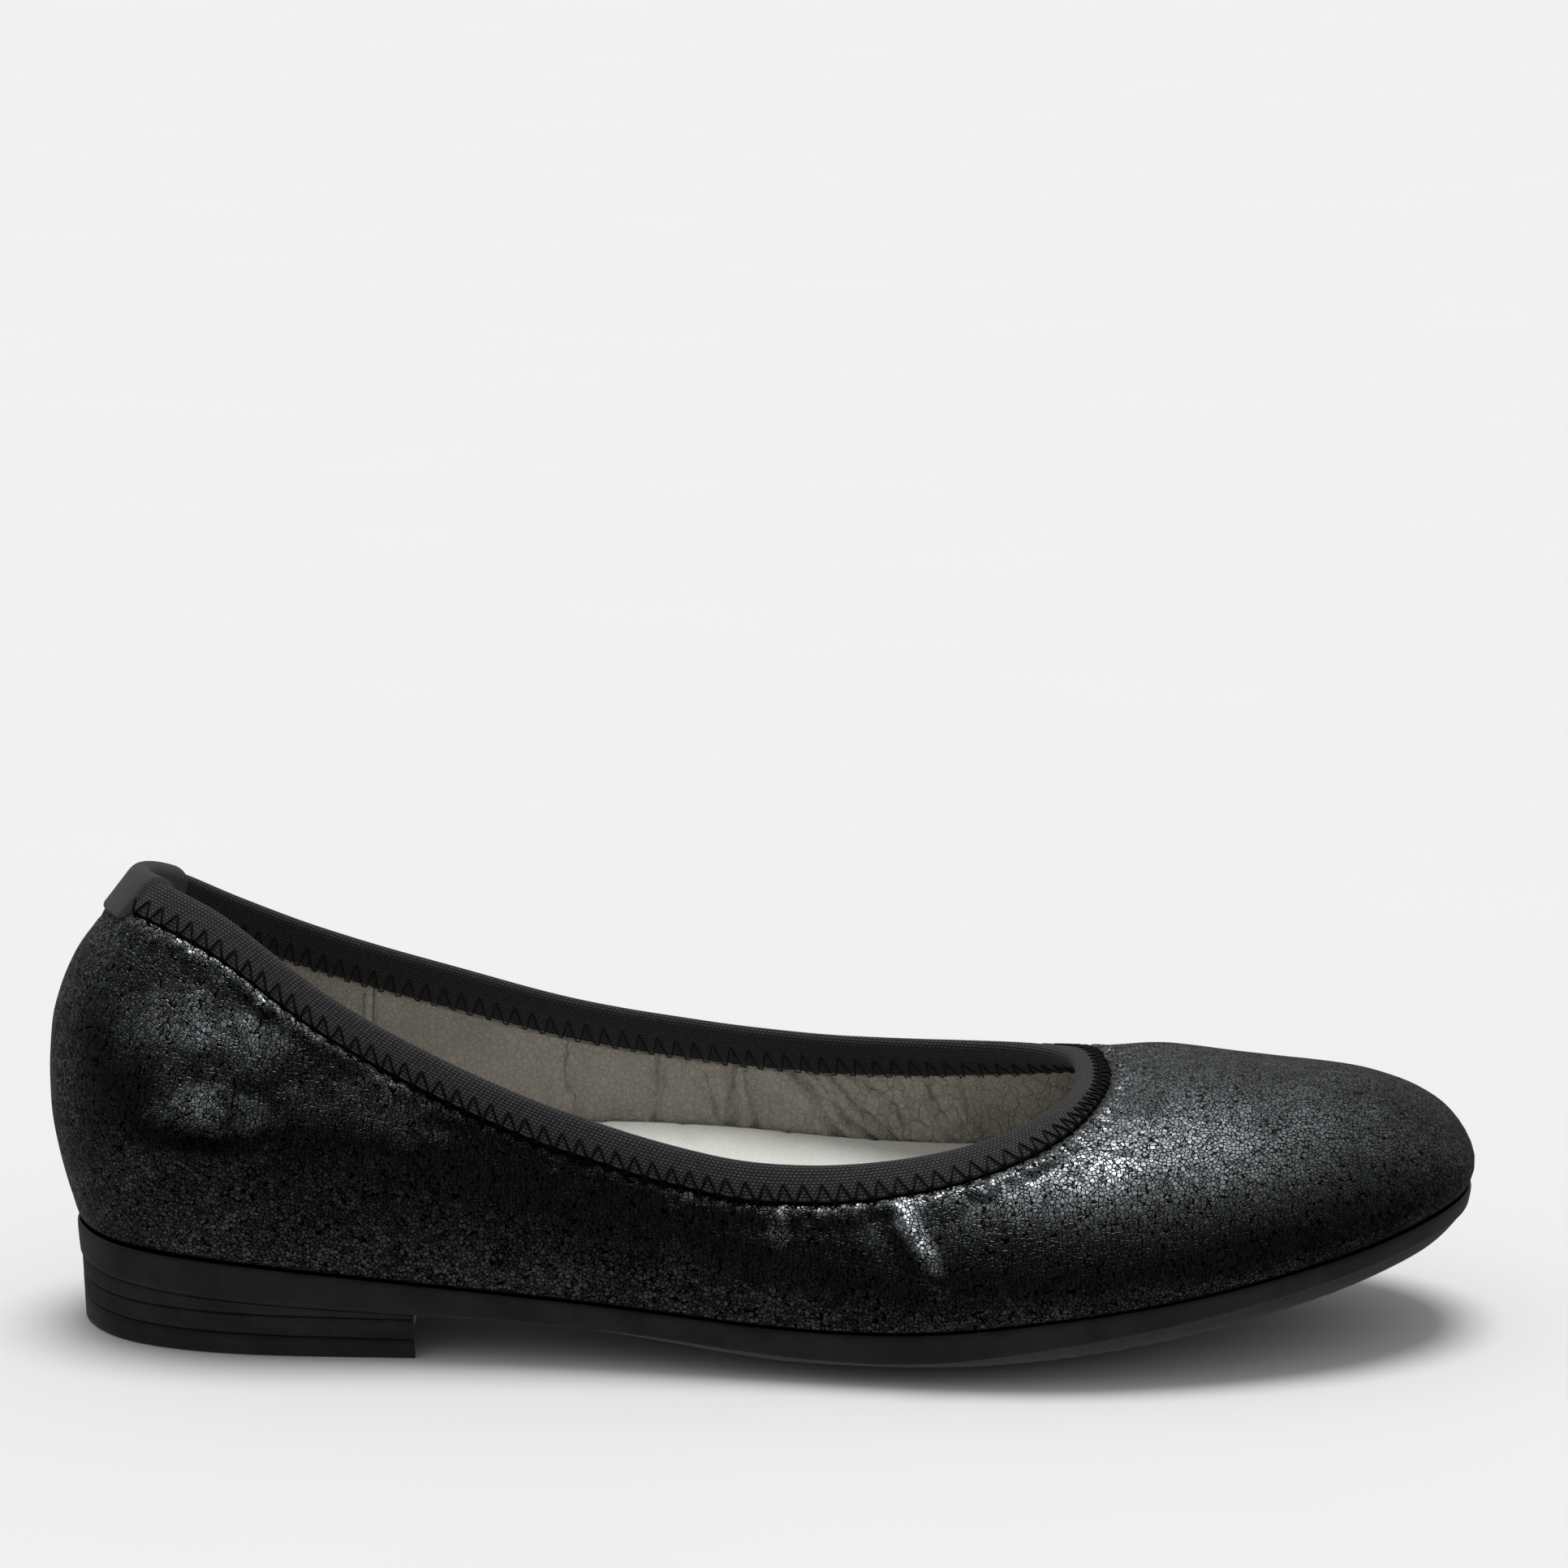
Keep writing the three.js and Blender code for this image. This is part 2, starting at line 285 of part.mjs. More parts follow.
// ---- sole ---------------------------------------------------------------------
const keel = naturalSpline(KEEL.map((k) => k[0]), KEEL.map((k) => k[1]));
const heelPlane = (x) => HEEL_PLANE[0] + HEEL_PLANE[1] * x;
function outsoleBottom(u, r, x) {
  const ahead = smooth(HEEL_BREAST_X, HEEL_BREAST_X + 14, x);
  if (ahead === 0) return heelPlane(x);
  const mid = Math.max(0, keel(midX(u)));
  const rim = feather(u).z - randAt(u);
  const t = Math.max(0, (r - 0.5) / 0.5);
  const front = mix(mid, rim, Math.pow(t, 2.1));
  return mix(heelPlane(x), front, ahead);
}
add(layer('outsole', RUBBER, {
  topRings: [1, 0.80, 0.76, 0.4, 0], bottomRings: [1, 0.94, 0.85, 0.7, 0.5, 0],
  rimTop: (u) => featherOffset(u, RAND_STEP), rimBottom: (u) => featherOffset(u, 0.1),
  top: (u, r) => seatZ(u, Math.min(1, r)) - (r < 0.78 ? TRAY_DEPTH : 0),
  bottom: outsoleBottom,
}));

function heelLayer(name, look, topPlane, bottomPlane, gapTop) {
  // back arc of the heel, lateral breast corner round the back to the medial one
  const us = range(-6.0, 6.05, 30);
  const cx = 34, pts = [];
  for (const u of us) { const p = featherOffset(u, 0.1); if (p.x < HEEL_BREAST_X) pts.push(p); }
  const zTop = (x) => topPlane[0] + topPlane[1] * x - gapTop, zBot = (x) => (bottomPlane ? bottomPlane[0] + bottomPlane[1] * x : 0);
  const first = pts[0], last = pts[pts.length - 1];
  const outline = [...pts.map((p) => new THREE.Vector2(p.x, p.y)),
    new THREE.Vector2(HEEL_BREAST_X, last.y), new THREE.Vector2(HEEL_BREAST_X - 1.6, (first.y + last.y) / 2), new THREE.Vector2(HEEL_BREAST_X, first.y)];
  const n = outline.length, points = [], faces = [];
  for (const level of [0, 1]) for (const q of outline) {
    const z = level ? zTop(q.x) : zBot(q.x);
    const drop = HEEL_PLANE[0] - z;
    const x = q.x + (q.x < cx ? HEEL_TAPER_BACK * drop * (cx - q.x) / cx : 0);
    const y = q.y - HEEL_TAPER * drop * q.y / 28;
    points.push(new THREE.Vector3(x, y, level ? zTop(x) : zBot(x)));
  }
  const caps = THREE.ShapeUtils.triangulateShape(outline, []);
  for (const [a, b, c] of caps) { faces.push([n + a, n + b, n + c], [a, c, b]); }
  for (let i = 0; i < n; i++) { const k = (i + 1) % n; faces.push([i, k, n + k], [i, n + k, n + i]); }
  add(solid(name, look, points, faces));
}
heelLayer('heel_lift_upper', STACK, HEEL_PLANE, LIFT_PLANE, LAYER_GAP);
heelLayer('heel_lift_lower', STACK, LIFT_PLANE, TOP_PIECE_PLANE, LAYER_GAP);
heelLayer('heel_top_piece', RUBBER, TOP_PIECE_PLANE, null, LAYER_GAP);

// shank spring and bottom filler lie in the recess of the outsole
const recessZ = (u, r) => seatZ(u, r) - TRAY_DEPTH;
{
  const sections = [];
  for (const x of range(24, 122, 14)) {
    // station with this middle point
    let lo = 0, hi = 18; while (hi - lo > 1e-3) { const m = (lo + hi) / 2; if (midX(m) < x) lo = m; else hi = m; }
    const z = recessZ(lo, 0) + LAYER_GAP, cy = midY(lo), w = 6.5;
    const slope = (seatZ(NS - lo, 1) - seatZ(lo, 1)) / (feather(NS - lo).y - feather(lo).y);
    const a = -w * slope, b = w * slope;
    sections.push([new THREE.Vector3(x, cy - w, z + a + 0.15), new THREE.Vector3(x, cy + w, z + b + 0.15),
      new THREE.Vector3(x, cy + w, z + b + 1.55), new THREE.Vector3(x, cy, z + 1.75), new THREE.Vector3(x, cy - w, z + a + 1.55)]);
  }
  add(sweep('shank', STEEL, sections, false));
}
{
  // forepart filler: a plate over the ball and toe
  const rows = [];
  for (const x of range(127, 222, 12)) {
    let lo = 0, hi = 18; while (hi - lo > 1e-3) { const m = (lo + hi) / 2; if (midX(m) < x) lo = m; else hi = m; }
    const e = featherOffset(lo, RAND_STEP), f = featherOffset(NS - lo, RAND_STEP), cx = midX(lo), cy = midY(lo);
    const row = [];
    for (const s of [-0.70, -0.38, 0, 0.38, 0.70]) {
      const r = Math.abs(s), q = s < 0 ? e : f, u = s < 0 ? lo : NS - lo;
      row.push(new THREE.Vector3(mix(cx, q.x, r), mix(cy, q.y, r), seatZ(u, r)));
    }
    rows.push(row);
  }
  const lift = (dz) => rows.map((row) => row.map((p) => p.clone().add(new THREE.Vector3(0, 0, dz))));
  add(shell('sole_filler', CORK, lift(-0.05), lift(-TRAY_DEPTH + LAYER_GAP + 0.1)));
}
const inPlan = (h0, clear) => (u) => insideWall(u, h0 * (1 - 0.25 * smooth(185, 240, feather(u).x)), clear + 1.3 * smooth(200, 240, feather(u).x));
add(layer('insole_board', FIBRE, {
  topRings: [1, 0.5, 0], bottomRings: [1, 0.5, 0], rimTop: inPlan(1.0, 1.0),
  top: (u, r) => seatZ(u, r) + LAYER_GAP + BOARD, bottom: (u, r) => seatZ(u, r) + LAYER_GAP,
}));
const cushionZ = LAYER_GAP * 2 + BOARD;
const footbedAt = (x) => FOOTBED * (1 - 0.5 * smooth(150, 215, x));
add(layer('footbed_cushion', FOAM, {
  topRings: [1, 0.5, 0], bottomRings: [1, 0.5, 0], rimTop: inPlan(3.6, 0.9),
  top: (u, r, x) => seatZ(u, r) + cushionZ + footbedAt(x), bottom: (u, r) => seatZ(u, r) + cushionZ,
}));
const sockZ = (x) => cushionZ + footbedAt(x) + LAYER_GAP;
function cup(u, r) {
  const side = u > 18 ? SOCK_CUP_MEDIAL : SOCK_CUP_LATERAL;
  const blend = smooth(0, 6, Math.min(around(u), NS - around(u)));
  const toe = 1 - 0.6 * smooth(12, 17, Math.min(around(u), NS - around(u)));
  return mix(1.6, side, blend) * toe * Math.pow(Math.max(0, (r - 0.6) / 0.4), 2);
}
add(layer('sock', SOCK_LEATHER, {
  topRings: [1, 0.86, 0.7, 0.4, 0], bottomRings: [1, 0.86, 0.7, 0.4, 0], rimTop: inPlan(8.3, 0.8), rimBottom: inPlan(7.1, 0.9),
  top: (u, r, x) => seatZ(u, r) + sockZ(x) + SOCK + cup(u, r), bottom: (u, r, x) => seatZ(u, r) + sockZ(x) + cup(u, r),
}));

// ---- upper ----------------------------------------------------------------------
const BASE_LIFT = 0.45;                                  // upper stands clear of the outsole
const baseV = (u) => BASE_LIFT / girth(u);
// every layer uses the same stations and rows, so that their facets run parallel
const ROWS = [0, 0.07, 0.16, 0.28, 0.44, 0.62, 0.82, 1];
const bodyL = (u, f) => mix(girth(u) - BASE_LIFT, BINDING_WIDTH + 0.95, f);
function stationsBetween(u0, u1) {
  const list = [u0];
  for (let k = Math.ceil(u0 / 0.5 + 0.15); k * 0.5 < u1 - 0.08; k++) list.push(k * 0.5);
  return [...list, u1];
}
function wallPiece(name, look, u0, u1, main, edge) {
  const outer = [], inner = [];
  for (const u of stationsBetween(u0, u1)) {
    const ls = [...ROWS.map((f) => bodyL(u, f)), BINDING_WIDTH + 0.35, EDGE_BELOW_FOLD], n = ls.length;
    outer.push(ls.map((l, j) => fromFold(u, l, j < n - 2 ? main[0] : edge[0])));
    inner.push(ls.map((l, j) => fromFold(u, l, j < n - 2 ? main[1] : edge[1])));
  }
  add(shell(name, look, outer, inner));
}
// point on the facets of the wall at row fraction f
function facet(u, f, depth) {
  let j = 0; while (j < ROWS.length - 2 && ROWS[j + 1] < f) j++;
  const t = (f - ROWS[j]) / (ROWS[j + 1] - ROWS[j]);
  return fromFold(u, bodyL(u, ROWS[j]), depth).lerp(fromFold(u, bodyL(u, ROWS[j + 1]), depth), t);
}
const EDGE_U = 0.045;                                    // half of a seam's gap, in stations
wallPiece('upper_vamp_lateral', BLACK_LEATHER, BACK_SEAM_U + EDGE_U, MEDIAL_SEAM_U - EDGE_U, [0, OUTER_LEATHER], EDGE_LEATHER);
wallPiece('upper_medial_quarter', BLACK_LEATHER, MEDIAL_SEAM_U + EDGE_U, NS - EDGE_U, [0, OUTER_LEATHER], EDGE_LEATHER);

const stiffDepth = OUTER_LEATHER + LAYER_GAP + 0.15;
function stiffener(name, look, u0, u1, rows, reach) {
  const outer = [], inner = [];
  for (const u of stationsBetween(u0, u1)) {
    const fs = [0.02, ...ROWS.slice(1, rows), reach((u - u0) / (u1 - u0))];
    outer.push(fs.map((f) => facet(u, f, stiffDepth)));
    inner.push(fs.map((f) => facet(u, f, stiffDepth + STIFFENER)));
  }
  add(shell(name, look, outer, inner));
}
stiffener('heel_counter', FIBRE, -5.5, 5.5, 5, (t) => 0.46 + 0.15 * Math.sin(Math.PI * t));
stiffener('toe_puff', FIBRE, 13.5, 22.5, 4, (t) => 0.30 + 0.12 * Math.sin(Math.PI * t));

const LIN = [LINING_DEPTH, LINING_DEPTH + LINING];
wallPiece('vamp_lining', LINING_LEATHER, HEEL_LINING_U + EDGE_U, NS - HEEL_LINING_U - EDGE_U, LIN, EDGE_LINING);
wallPiece('heel_lining', LINING_LEATHER, -HEEL_LINING_U + EDGE_U, HEEL_LINING_U - EDGE_U, LIN, EDGE_LINING);

// ---- binding, tab and zigzag seam --------------------------------------------------
{
  const sections = [];
  const I0 = BINDING_INNER, I1 = BINDING_INNER + BINDING_THICK, B = BINDING_THICK;
  for (let i = 0; i < 2 * NS; i++) {
    const u = i * 0.5;
    sections.push([
      fromFold(u, BINDING_WIDTH, 0), fromFold(u, 3.2, 0), fromFold(u, 1.0, 0.15), fromFold(u, 0, 1.3), fromFold(u, 0, 2.9),
      fromFold(u, 1.0, I1 - 0.15), fromFold(u, 3.2, I1), fromFold(u, BINDING_WIDTH, I1),
      fromFold(u, BINDING_WIDTH, I0), fromFold(u, 3.2, I0), fromFold(u, B + 1.1, I0 - 0.2), fromFold(u, B + 1.1, B), fromFold(u, 3.2, B), fromFold(u, BINDING_WIDTH, B),
    ]);
  }
  add(sweep('topline_binding', ELASTIC, sections, true));
}
{
  // tape tab folded over the binding at the centre back
  const sections = [], T = TAB_THICK, c = 0.3, I = BINDING_INNER + BINDING_THICK + c;
  const profile = [
    [TAB_OUTSIDE, -c - T], [5, -c - T], [1, -c - T], [-0.9, -0.3], [-c - T, 1.2],
    [-c - T, 3.2], [-0.9, I + 0.3], [1, I + T], [5, I + T], [TAB_INSIDE, I + T],
    [TAB_INSIDE, I], [5, I], [1, I], [-0.3, 3.2], [-0.3, 1.2], [1, -c], [5, -c], [TAB_OUTSIDE, -c],
  ];
  // the tape keeps its width, so each fibre of it runs at a constant distance from the middle
  const along = (s, l, d) => {
    const step = 0.08 * Math.sign(s || 1);
    let u = 0, run = 0, p = fromFold(0, l, d);
    while (run < Math.abs(s)) { const q = fromFold(u + step, l, d), h = q.distanceTo(p); if (run + h > Math.abs(s)) return u + step * (Math.abs(s) - run) / h; run += h; u += step; p = q; }
    return u;
  };
  for (const s of range(-TAB_HALF_WIDTH, TAB_HALF_WIDTH, 10)) {
    sections.push(profile.map(([l, d]) => fromFold(along(s, l, d), l, d)));
  }
  add(sweep('heel_tab', ELASTIC, sections, false));
}
{
  // one continuous thread that zigzags over the lower edge of the binding
  const fine = range(0, NS, 720), arc = [0];
  for (let i = 1; i < fine.length; i++) arc.push(arc[i - 1] + fromFold(fine[i], 5, 0).distanceTo(fromFold(fine[i - 1], 5, 0)));
  const total = arc[arc.length - 1];
  const count = 2 * Math.round(total / ZIGZAG_PITCH);
  const uAt = (s) => { let i = 1; while (i < arc.length - 1 && arc[i] < s) i++; return mix(fine[i - 1], fine[i], (s - arc[i - 1]) / (arc[i] - arc[i - 1])); };
  const sections = [];
  for (let i = 0; i < count; i++) {
    const u = uAt(i * total / count), l = i % 2 ? ZIGZAG_BOTTOM : ZIGZAG_TOP;
    // the thread passes over the tab at the centre back
    const onTab = Math.abs(u > 18 ? u - NS : u) < TAB_HALF_WIDTH / 5.9 + 0.25 ? TAB_THICK + 0.3 : 0;
    const d = -LAYER_GAP - THREAD_R - onTab, w = THREAD_R * 2.2;
    sections.push([fromFold(u, l - w, d + THREAD_R * 0.7), fromFold(u, l, d - THREAD_R), fromFold(u, l + w, d + THREAD_R * 0.7)]);
  }
  add(sweep('topline_zigzag_stitch', THREAD, sections, true));
}

// stitched seams: one thread each, running beside the joint it holds
function seamThread(name, look, u, offset, l0, l1, depth, steps) {
  const sections = [];
  for (const l of range(l0, l1(u), steps)) {
    const { du } = tangents(u, 0.5), c = fromFold(u, l, depth).addScaledVector(du, offset);
    const a = fromFold(u, l, depth - THREAD_R).addScaledVector(du, offset);
    const out = a.clone().sub(c), side = du.clone().multiplyScalar(THREAD_R);
    sections.push([c.clone().add(out), c.clone().add(side), c.clone().sub(out), c.clone().sub(side)]);
  }
  add(sweep(name, look, sections, false));
}
seamThread('medial_seam_stitch', THREAD, MEDIAL_SEAM_U, 1.6, BINDING_WIDTH + 1.6, (u) => girth(u) - 2.5, -0.55, 6);
seamThread('heel_lining_stitch_lateral', THREAD, HEEL_LINING_U, -1.6, BINDING_WIDTH + 2.2, (u) => girth(u) - 14, LINING_DEPTH + LINING + 0.55, 8);
seamThread('heel_lining_stitch_medial', THREAD, NS - HEEL_LINING_U, 1.6, BINDING_WIDTH + 2.2, (u) => girth(u) - 14, LINING_DEPTH + LINING + 0.55, 8);

// ---- origin at the middle of the footprint, on the ground ---------------------------
shoe.updateMatrixWorld(true);
const box = new THREE.Box3().setFromObject(shoe);
shoe.position.set(-(box.min.x + box.max.x) / 2, -(box.min.y + box.max.y) / 2, -box.min.z);
shoe.updateMatrixWorld(true);

export default shoe;
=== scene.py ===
# Ballet flat: detailed pieces, materials, floor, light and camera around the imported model.
import math

import bmesh
import bpy
import numpy as np
from mathutils import Matrix, Vector


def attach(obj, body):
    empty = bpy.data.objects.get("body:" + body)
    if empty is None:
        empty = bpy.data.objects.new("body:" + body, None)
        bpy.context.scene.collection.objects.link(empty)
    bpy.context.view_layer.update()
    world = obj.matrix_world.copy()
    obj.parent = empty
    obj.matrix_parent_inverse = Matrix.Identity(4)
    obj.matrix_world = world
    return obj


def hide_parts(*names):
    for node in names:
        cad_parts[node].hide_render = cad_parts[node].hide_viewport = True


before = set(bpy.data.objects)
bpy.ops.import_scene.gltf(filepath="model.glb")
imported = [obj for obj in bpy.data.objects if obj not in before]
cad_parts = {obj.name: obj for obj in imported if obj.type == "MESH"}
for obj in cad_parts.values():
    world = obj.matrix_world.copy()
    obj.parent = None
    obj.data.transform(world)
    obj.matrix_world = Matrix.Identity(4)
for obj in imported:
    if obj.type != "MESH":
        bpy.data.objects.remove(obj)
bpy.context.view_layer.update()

# ---- the last: the same control net as the CAD part, in millimetres ------------------
LEVELS = np.array([0, 0.05, 0.12, 0.22, 0.34, 0.48, 0.62, 0.75, 0.86, 0.94, 1.0])
STATIONS = np.array([
    0.00, 0.00, 18.20, -0.83, 0.00, 21.60, -2.17, 0.00, 26.32, -3.79, 0.00, 33.12, -4.88, 0.01, 41.45, -4.62, 0.01, 51.24, -2.75, 0.01, 60.85, 0.97, 0.01, 69.11, 5.68, 0.00, 75.20, 9.20, 0.00, 79.55, 11.60, 0.00, 83.00,
    2.00, -9.00, 18.20, 1.22, -9.21, 21.60, -0.04, -9.54, 26.33, -1.57, -9.95, 33.14, -2.60, -10.20, 41.47, -2.37, -10.09, 51.25, -0.62, -9.55, 60.87, 3.18, -8.30, 68.99, 7.61, -6.82, 75.11, 10.90, -5.77, 79.52, 13.15, -5.10, 83.00,
    7.00, -17.00, 18.00, 6.34, -17.43, 21.38, 5.33, -18.09, 26.08, 4.15, -18.89, 32.86, 3.44, -19.44, 41.13, 3.78, -19.37, 50.82, 5.72, -18.22, 60.23, 9.32, -15.68, 68.08, 12.96, -13.15, 74.28, 15.62, -11.39, 78.82, 17.49, -10.24, 82.36,
    15.00, -23.20, 17.70, 14.53, -23.84, 20.94, 13.91, -24.72, 25.48, 13.33, -25.70, 32.05, 13.20, -26.33, 40.03, 13.94, -26.06, 49.31, 15.93, -23.76, 58.12, 18.54, -20.49, 65.70, 21.04, -17.51, 71.93, 22.91, -15.50, 76.50, 24.31, -14.19, 80.01,
    28.00, -27.60, 17.00, 27.72, -28.36, 19.98, 27.43, -29.22, 24.21, 27.22, -30.09, 30.32, 27.30, -30.54, 37.72, 27.80, -30.29, 46.34, 28.77, -28.38, 54.69, 30.03, -25.18, 61.94, 31.28, -22.16, 67.90, 32.26, -20.10, 72.28, 33.03, -18.77, 75.66,
    45.00, -29.20, 15.60, 44.89, -29.94, 18.11, 44.81, -30.68, 21.70, 44.79, -31.39, 26.89, 44.88, -31.77, 33.16, 45.12, -31.64, 40.49, 45.51, -30.86, 47.76, 45.92, -28.79, 54.23, 46.33, -26.51, 59.50, 46.68, -24.91, 63.36, 46.98, -23.90, 66.32,
    65.00, -29.60, 13.70, 64.95, -30.29, 15.77, 64.91, -30.91, 18.77, 64.86, -31.51, 23.10, 64.84, -31.86, 28.34, 64.83, -31.83, 34.47, 64.84, -31.19, 40.55, 64.86, -30.03, 46.12, 64.90, -28.82, 50.78, 64.93, -27.90, 54.16, 64.97, -27.23, 56.69,
    85.00, -31.00, 12.10, 84.93, -31.65, 13.83, 84.85, -32.19, 16.36, 84.73, -32.69, 20.02, 84.60, -32.96, 24.45, 84.46, -32.88, 29.62, 84.33, -32.30, 34.76, 84.21, -31.43, 39.49, 84.11, -30.53, 43.45, 84.04, -29.82, 46.33, 84.00, -29.27, 48.48,
    105.00, -33.60, 10.60, 104.89, -34.24, 12.09, 104.74, -34.73, 14.31, 104.52, -35.14, 17.54, 104.27, -35.30, 21.45, 103.98, -35.03, 25.99, 103.71, -34.33, 30.50, 103.46, -33.40, 34.63, 103.26, -32.47, 38.09, 103.11, -31.74, 40.59, 102.99, -31.17, 42.46,
    125.00, -37.20, 9.20, 124.82, -37.88, 10.56, 124.56, -38.34, 12.65, 124.18, -38.64, 15.69, 123.74, -38.62, 19.36, 123.22, -38.04, 23.61, 122.73, -37.01, 27.76, 122.27, -35.76, 31.54, 121.90, -34.55, 34.69, 121.62, -33.63, 36.95, 121.42, -32.92, 38.65,
    145.00, -40.50, 9.00, 144.71, -41.29, 10.36, 144.22, -41.74, 12.52, 143.50, -41.90, 15.66, 142.63, -41.57, 19.42, 141.61, -40.49, 23.69, 140.60, -38.80, 27.75, 139.68, -36.87, 31.37, 138.93, -35.08, 34.34, 138.39, -33.75, 36.49, 137.99, -32.74, 38.09,
    162.00, -42.00, 10.20, 161.60, -42.97, 11.57, 160.85, -43.46, 13.85, 159.72, -43.51, 17.14, 158.33, -42.87, 21.04, 156.70, -41.34, 25.39, 155.09, -39.06, 29.39, 153.64, -36.50, 32.85, 152.46, -34.16, 35.66, 151.62, -32.40, 37.66, 151.00, -31.08, 39.16,
    180.00, -41.40, 12.40, 179.45, -42.60, 13.81, 178.24, -43.21, 16.20, 176.32, -43.21, 19.60, 173.93, -42.33, 23.54, 171.15, -40.43, 27.86, 168.40, -37.72, 31.75, 165.93, -34.70, 35.02, 163.92, -31.92, 37.63, 162.50, -29.83, 39.49, 161.46, -28.25, 40.88,
    198.00, -38.30, 14.80, 197.32, -39.80, 16.39, 195.58, -40.61, 18.98, 192.67, -40.75, 22.56, 188.93, -39.85, 26.53, 184.50, -37.74, 30.73, 180.13, -34.78, 34.45, 176.17, -31.38, 37.41, 172.93, -28.22, 39.73, 170.66, -25.83, 41.39, 169.00, -24.02, 42.67,
    215.00, -33.00, 17.80, 214.31, -34.81, 19.71, 212.03, -35.85, 22.63, 208.03, -36.19, 26.37, 202.78, -35.37, 30.28, 196.50, -33.27, 34.20, 190.27, -30.26, 37.56, 184.56, -26.71, 39.97, 179.86, -23.31, 41.72, 176.54, -20.73, 43.05, 174.12, -18.78, 44.15,
    230.00, -25.60, 20.70, 229.61, -27.63, 23.13, 226.94, -28.91, 26.55, 221.91, -29.48, 30.55, 215.17, -28.92, 34.34, 207.04, -27.12, 37.85, 198.89, -24.40, 40.70, 191.39, -21.13, 42.55, 185.12, -17.85, 43.48, 180.64, -15.33, 44.28, 177.36, -13.41, 45.16,
    241.00, -17.00, 23.20, 241.16, -18.95, 26.17, 238.34, -20.37, 30.20, 232.56, -21.11, 34.55, 224.69, -20.84, 38.28, 215.08, -19.55, 41.27, 205.41, -17.45, 43.48, 196.45, -14.84, 44.85, 188.90, -12.07, 44.94, 183.37, -9.89, 45.14, 179.33, -8.23, 45.73,
    248.30, -7.60, 25.00, 249.15, -9.02, 28.48, 246.33, -10.22, 33.20, 240.00, -10.97, 37.90, 231.29, -11.10, 41.61, 220.62, -10.60, 44.19, 209.82, -9.60, 45.69, 199.74, -8.10, 46.61, 191.16, -6.28, 46.00, 184.72, -4.78, 45.63, 180.04, -3.60, 45.96,
    251.09, 3.50, 25.55, 252.54, 3.17, 29.39, 250.09, 2.82, 35.05, 243.57, 2.56, 40.44, 234.37, 2.33, 44.25, 223.11, 1.52, 46.16, 211.84, 0.45, 47.00, 201.26, -0.06, 47.67, 192.13, 0.14, 46.77, 185.20, 0.50, 46.09, 180.15, 0.84, 46.24,
    249.49, 14.06, 25.08, 251.11, 15.02, 28.90, 248.94, 15.89, 35.05, 242.25, 16.04, 40.61, 232.75, 15.46, 44.02, 221.45, 14.08, 45.40, 210.44, 11.91, 46.38, 200.54, 8.72, 47.52, 191.75, 6.71, 47.00, 185.00, 5.65, 46.50, 180.04, 4.97, 46.60,
    243.53, 23.03, 23.77, 244.53, 24.78, 27.14, 242.04, 26.10, 32.34, 235.93, 26.16, 37.58, 227.46, 24.88, 41.68, 217.24, 22.23, 44.29, 207.10, 19.12, 46.01, 197.72, 16.16, 47.46, 189.65, 13.48, 47.09, 183.71, 11.34, 46.73, 179.45, 9.42, 46.87,
    234.00, 30.00, 21.80, 234.30, 32.04, 24.69, 231.71, 33.26, 29.14, 226.42, 33.13, 34.06, 219.25, 31.56, 38.63, 210.57, 28.55, 42.43, 201.77, 24.91, 45.11, 193.52, 21.30, 46.64, 186.48, 18.06, 46.51, 181.37, 15.62, 46.47, 177.58, 13.77, 46.88,
    220.00, 35.20, 19.00, 219.78, 37.09, 21.40, 217.48, 38.03, 25.14, 213.23, 37.83, 29.68, 207.55, 36.38, 34.33, 200.61, 33.65, 38.76, 193.51, 30.17, 42.24, 186.78, 26.32, 44.22, 181.10, 22.76, 45.03, 176.98, 20.18, 45.76, 173.94, 18.32, 46.63,
    203.00, 38.00, 16.40, 202.56, 39.55, 18.39, 200.70, 40.17, 21.51, 197.47, 39.88, 25.59, 193.20, 38.56, 29.98, 188.01, 36.16, 34.48, 182.72, 33.12, 38.45, 177.73, 29.58, 41.31, 173.53, 26.36, 43.41, 170.49, 24.01, 44.99, 168.23, 22.32, 46.30,
    185.00, 38.00, 14.40, 184.57, 39.29, 16.12, 183.19, 39.73, 18.89, 180.85, 39.44, 22.69, 177.83, 38.32, 26.97, 174.20, 36.32, 31.65, 170.52, 33.70, 35.94, 167.07, 30.75, 39.55, 164.15, 28.05, 42.43, 162.04, 26.06, 44.52, 160.46, 24.58, 46.09,
    166.00, 35.40, 13.60, 165.65, 36.50, 15.16, 164.71, 36.95, 17.71, 163.17, 36.84, 21.33, 161.21, 36.05, 25.55, 158.87, 34.53, 30.31, 156.51, 32.45, 34.83, 154.31, 30.17, 38.85, 152.44, 28.07, 42.16, 151.08, 26.49, 44.52, 150.05, 25.29, 46.27,
    148.00, 31.00, 14.80, 147.71, 31.95, 16.24, 147.08, 32.46, 18.58, 146.07, 32.63, 21.97, 144.80, 32.28, 26.01, 143.28, 31.36, 30.64, 141.74, 30.00, 35.15, 140.30, 28.45, 39.24, 139.07, 26.98, 42.63, 138.16, 25.84, 45.06, 137.48, 24.95, 46.87,
    128.00, 26.20, 17.80, 127.82, 27.05, 19.15, 127.46, 27.64, 21.29, 126.88, 28.06, 24.43, 126.14, 28.13, 28.23, 125.24, 27.78, 32.63, 124.30, 27.07, 36.99, 123.42, 26.17, 40.99, 122.66, 25.25, 44.33, 122.09, 24.51, 46.73, 121.66, 23.91, 48.52,
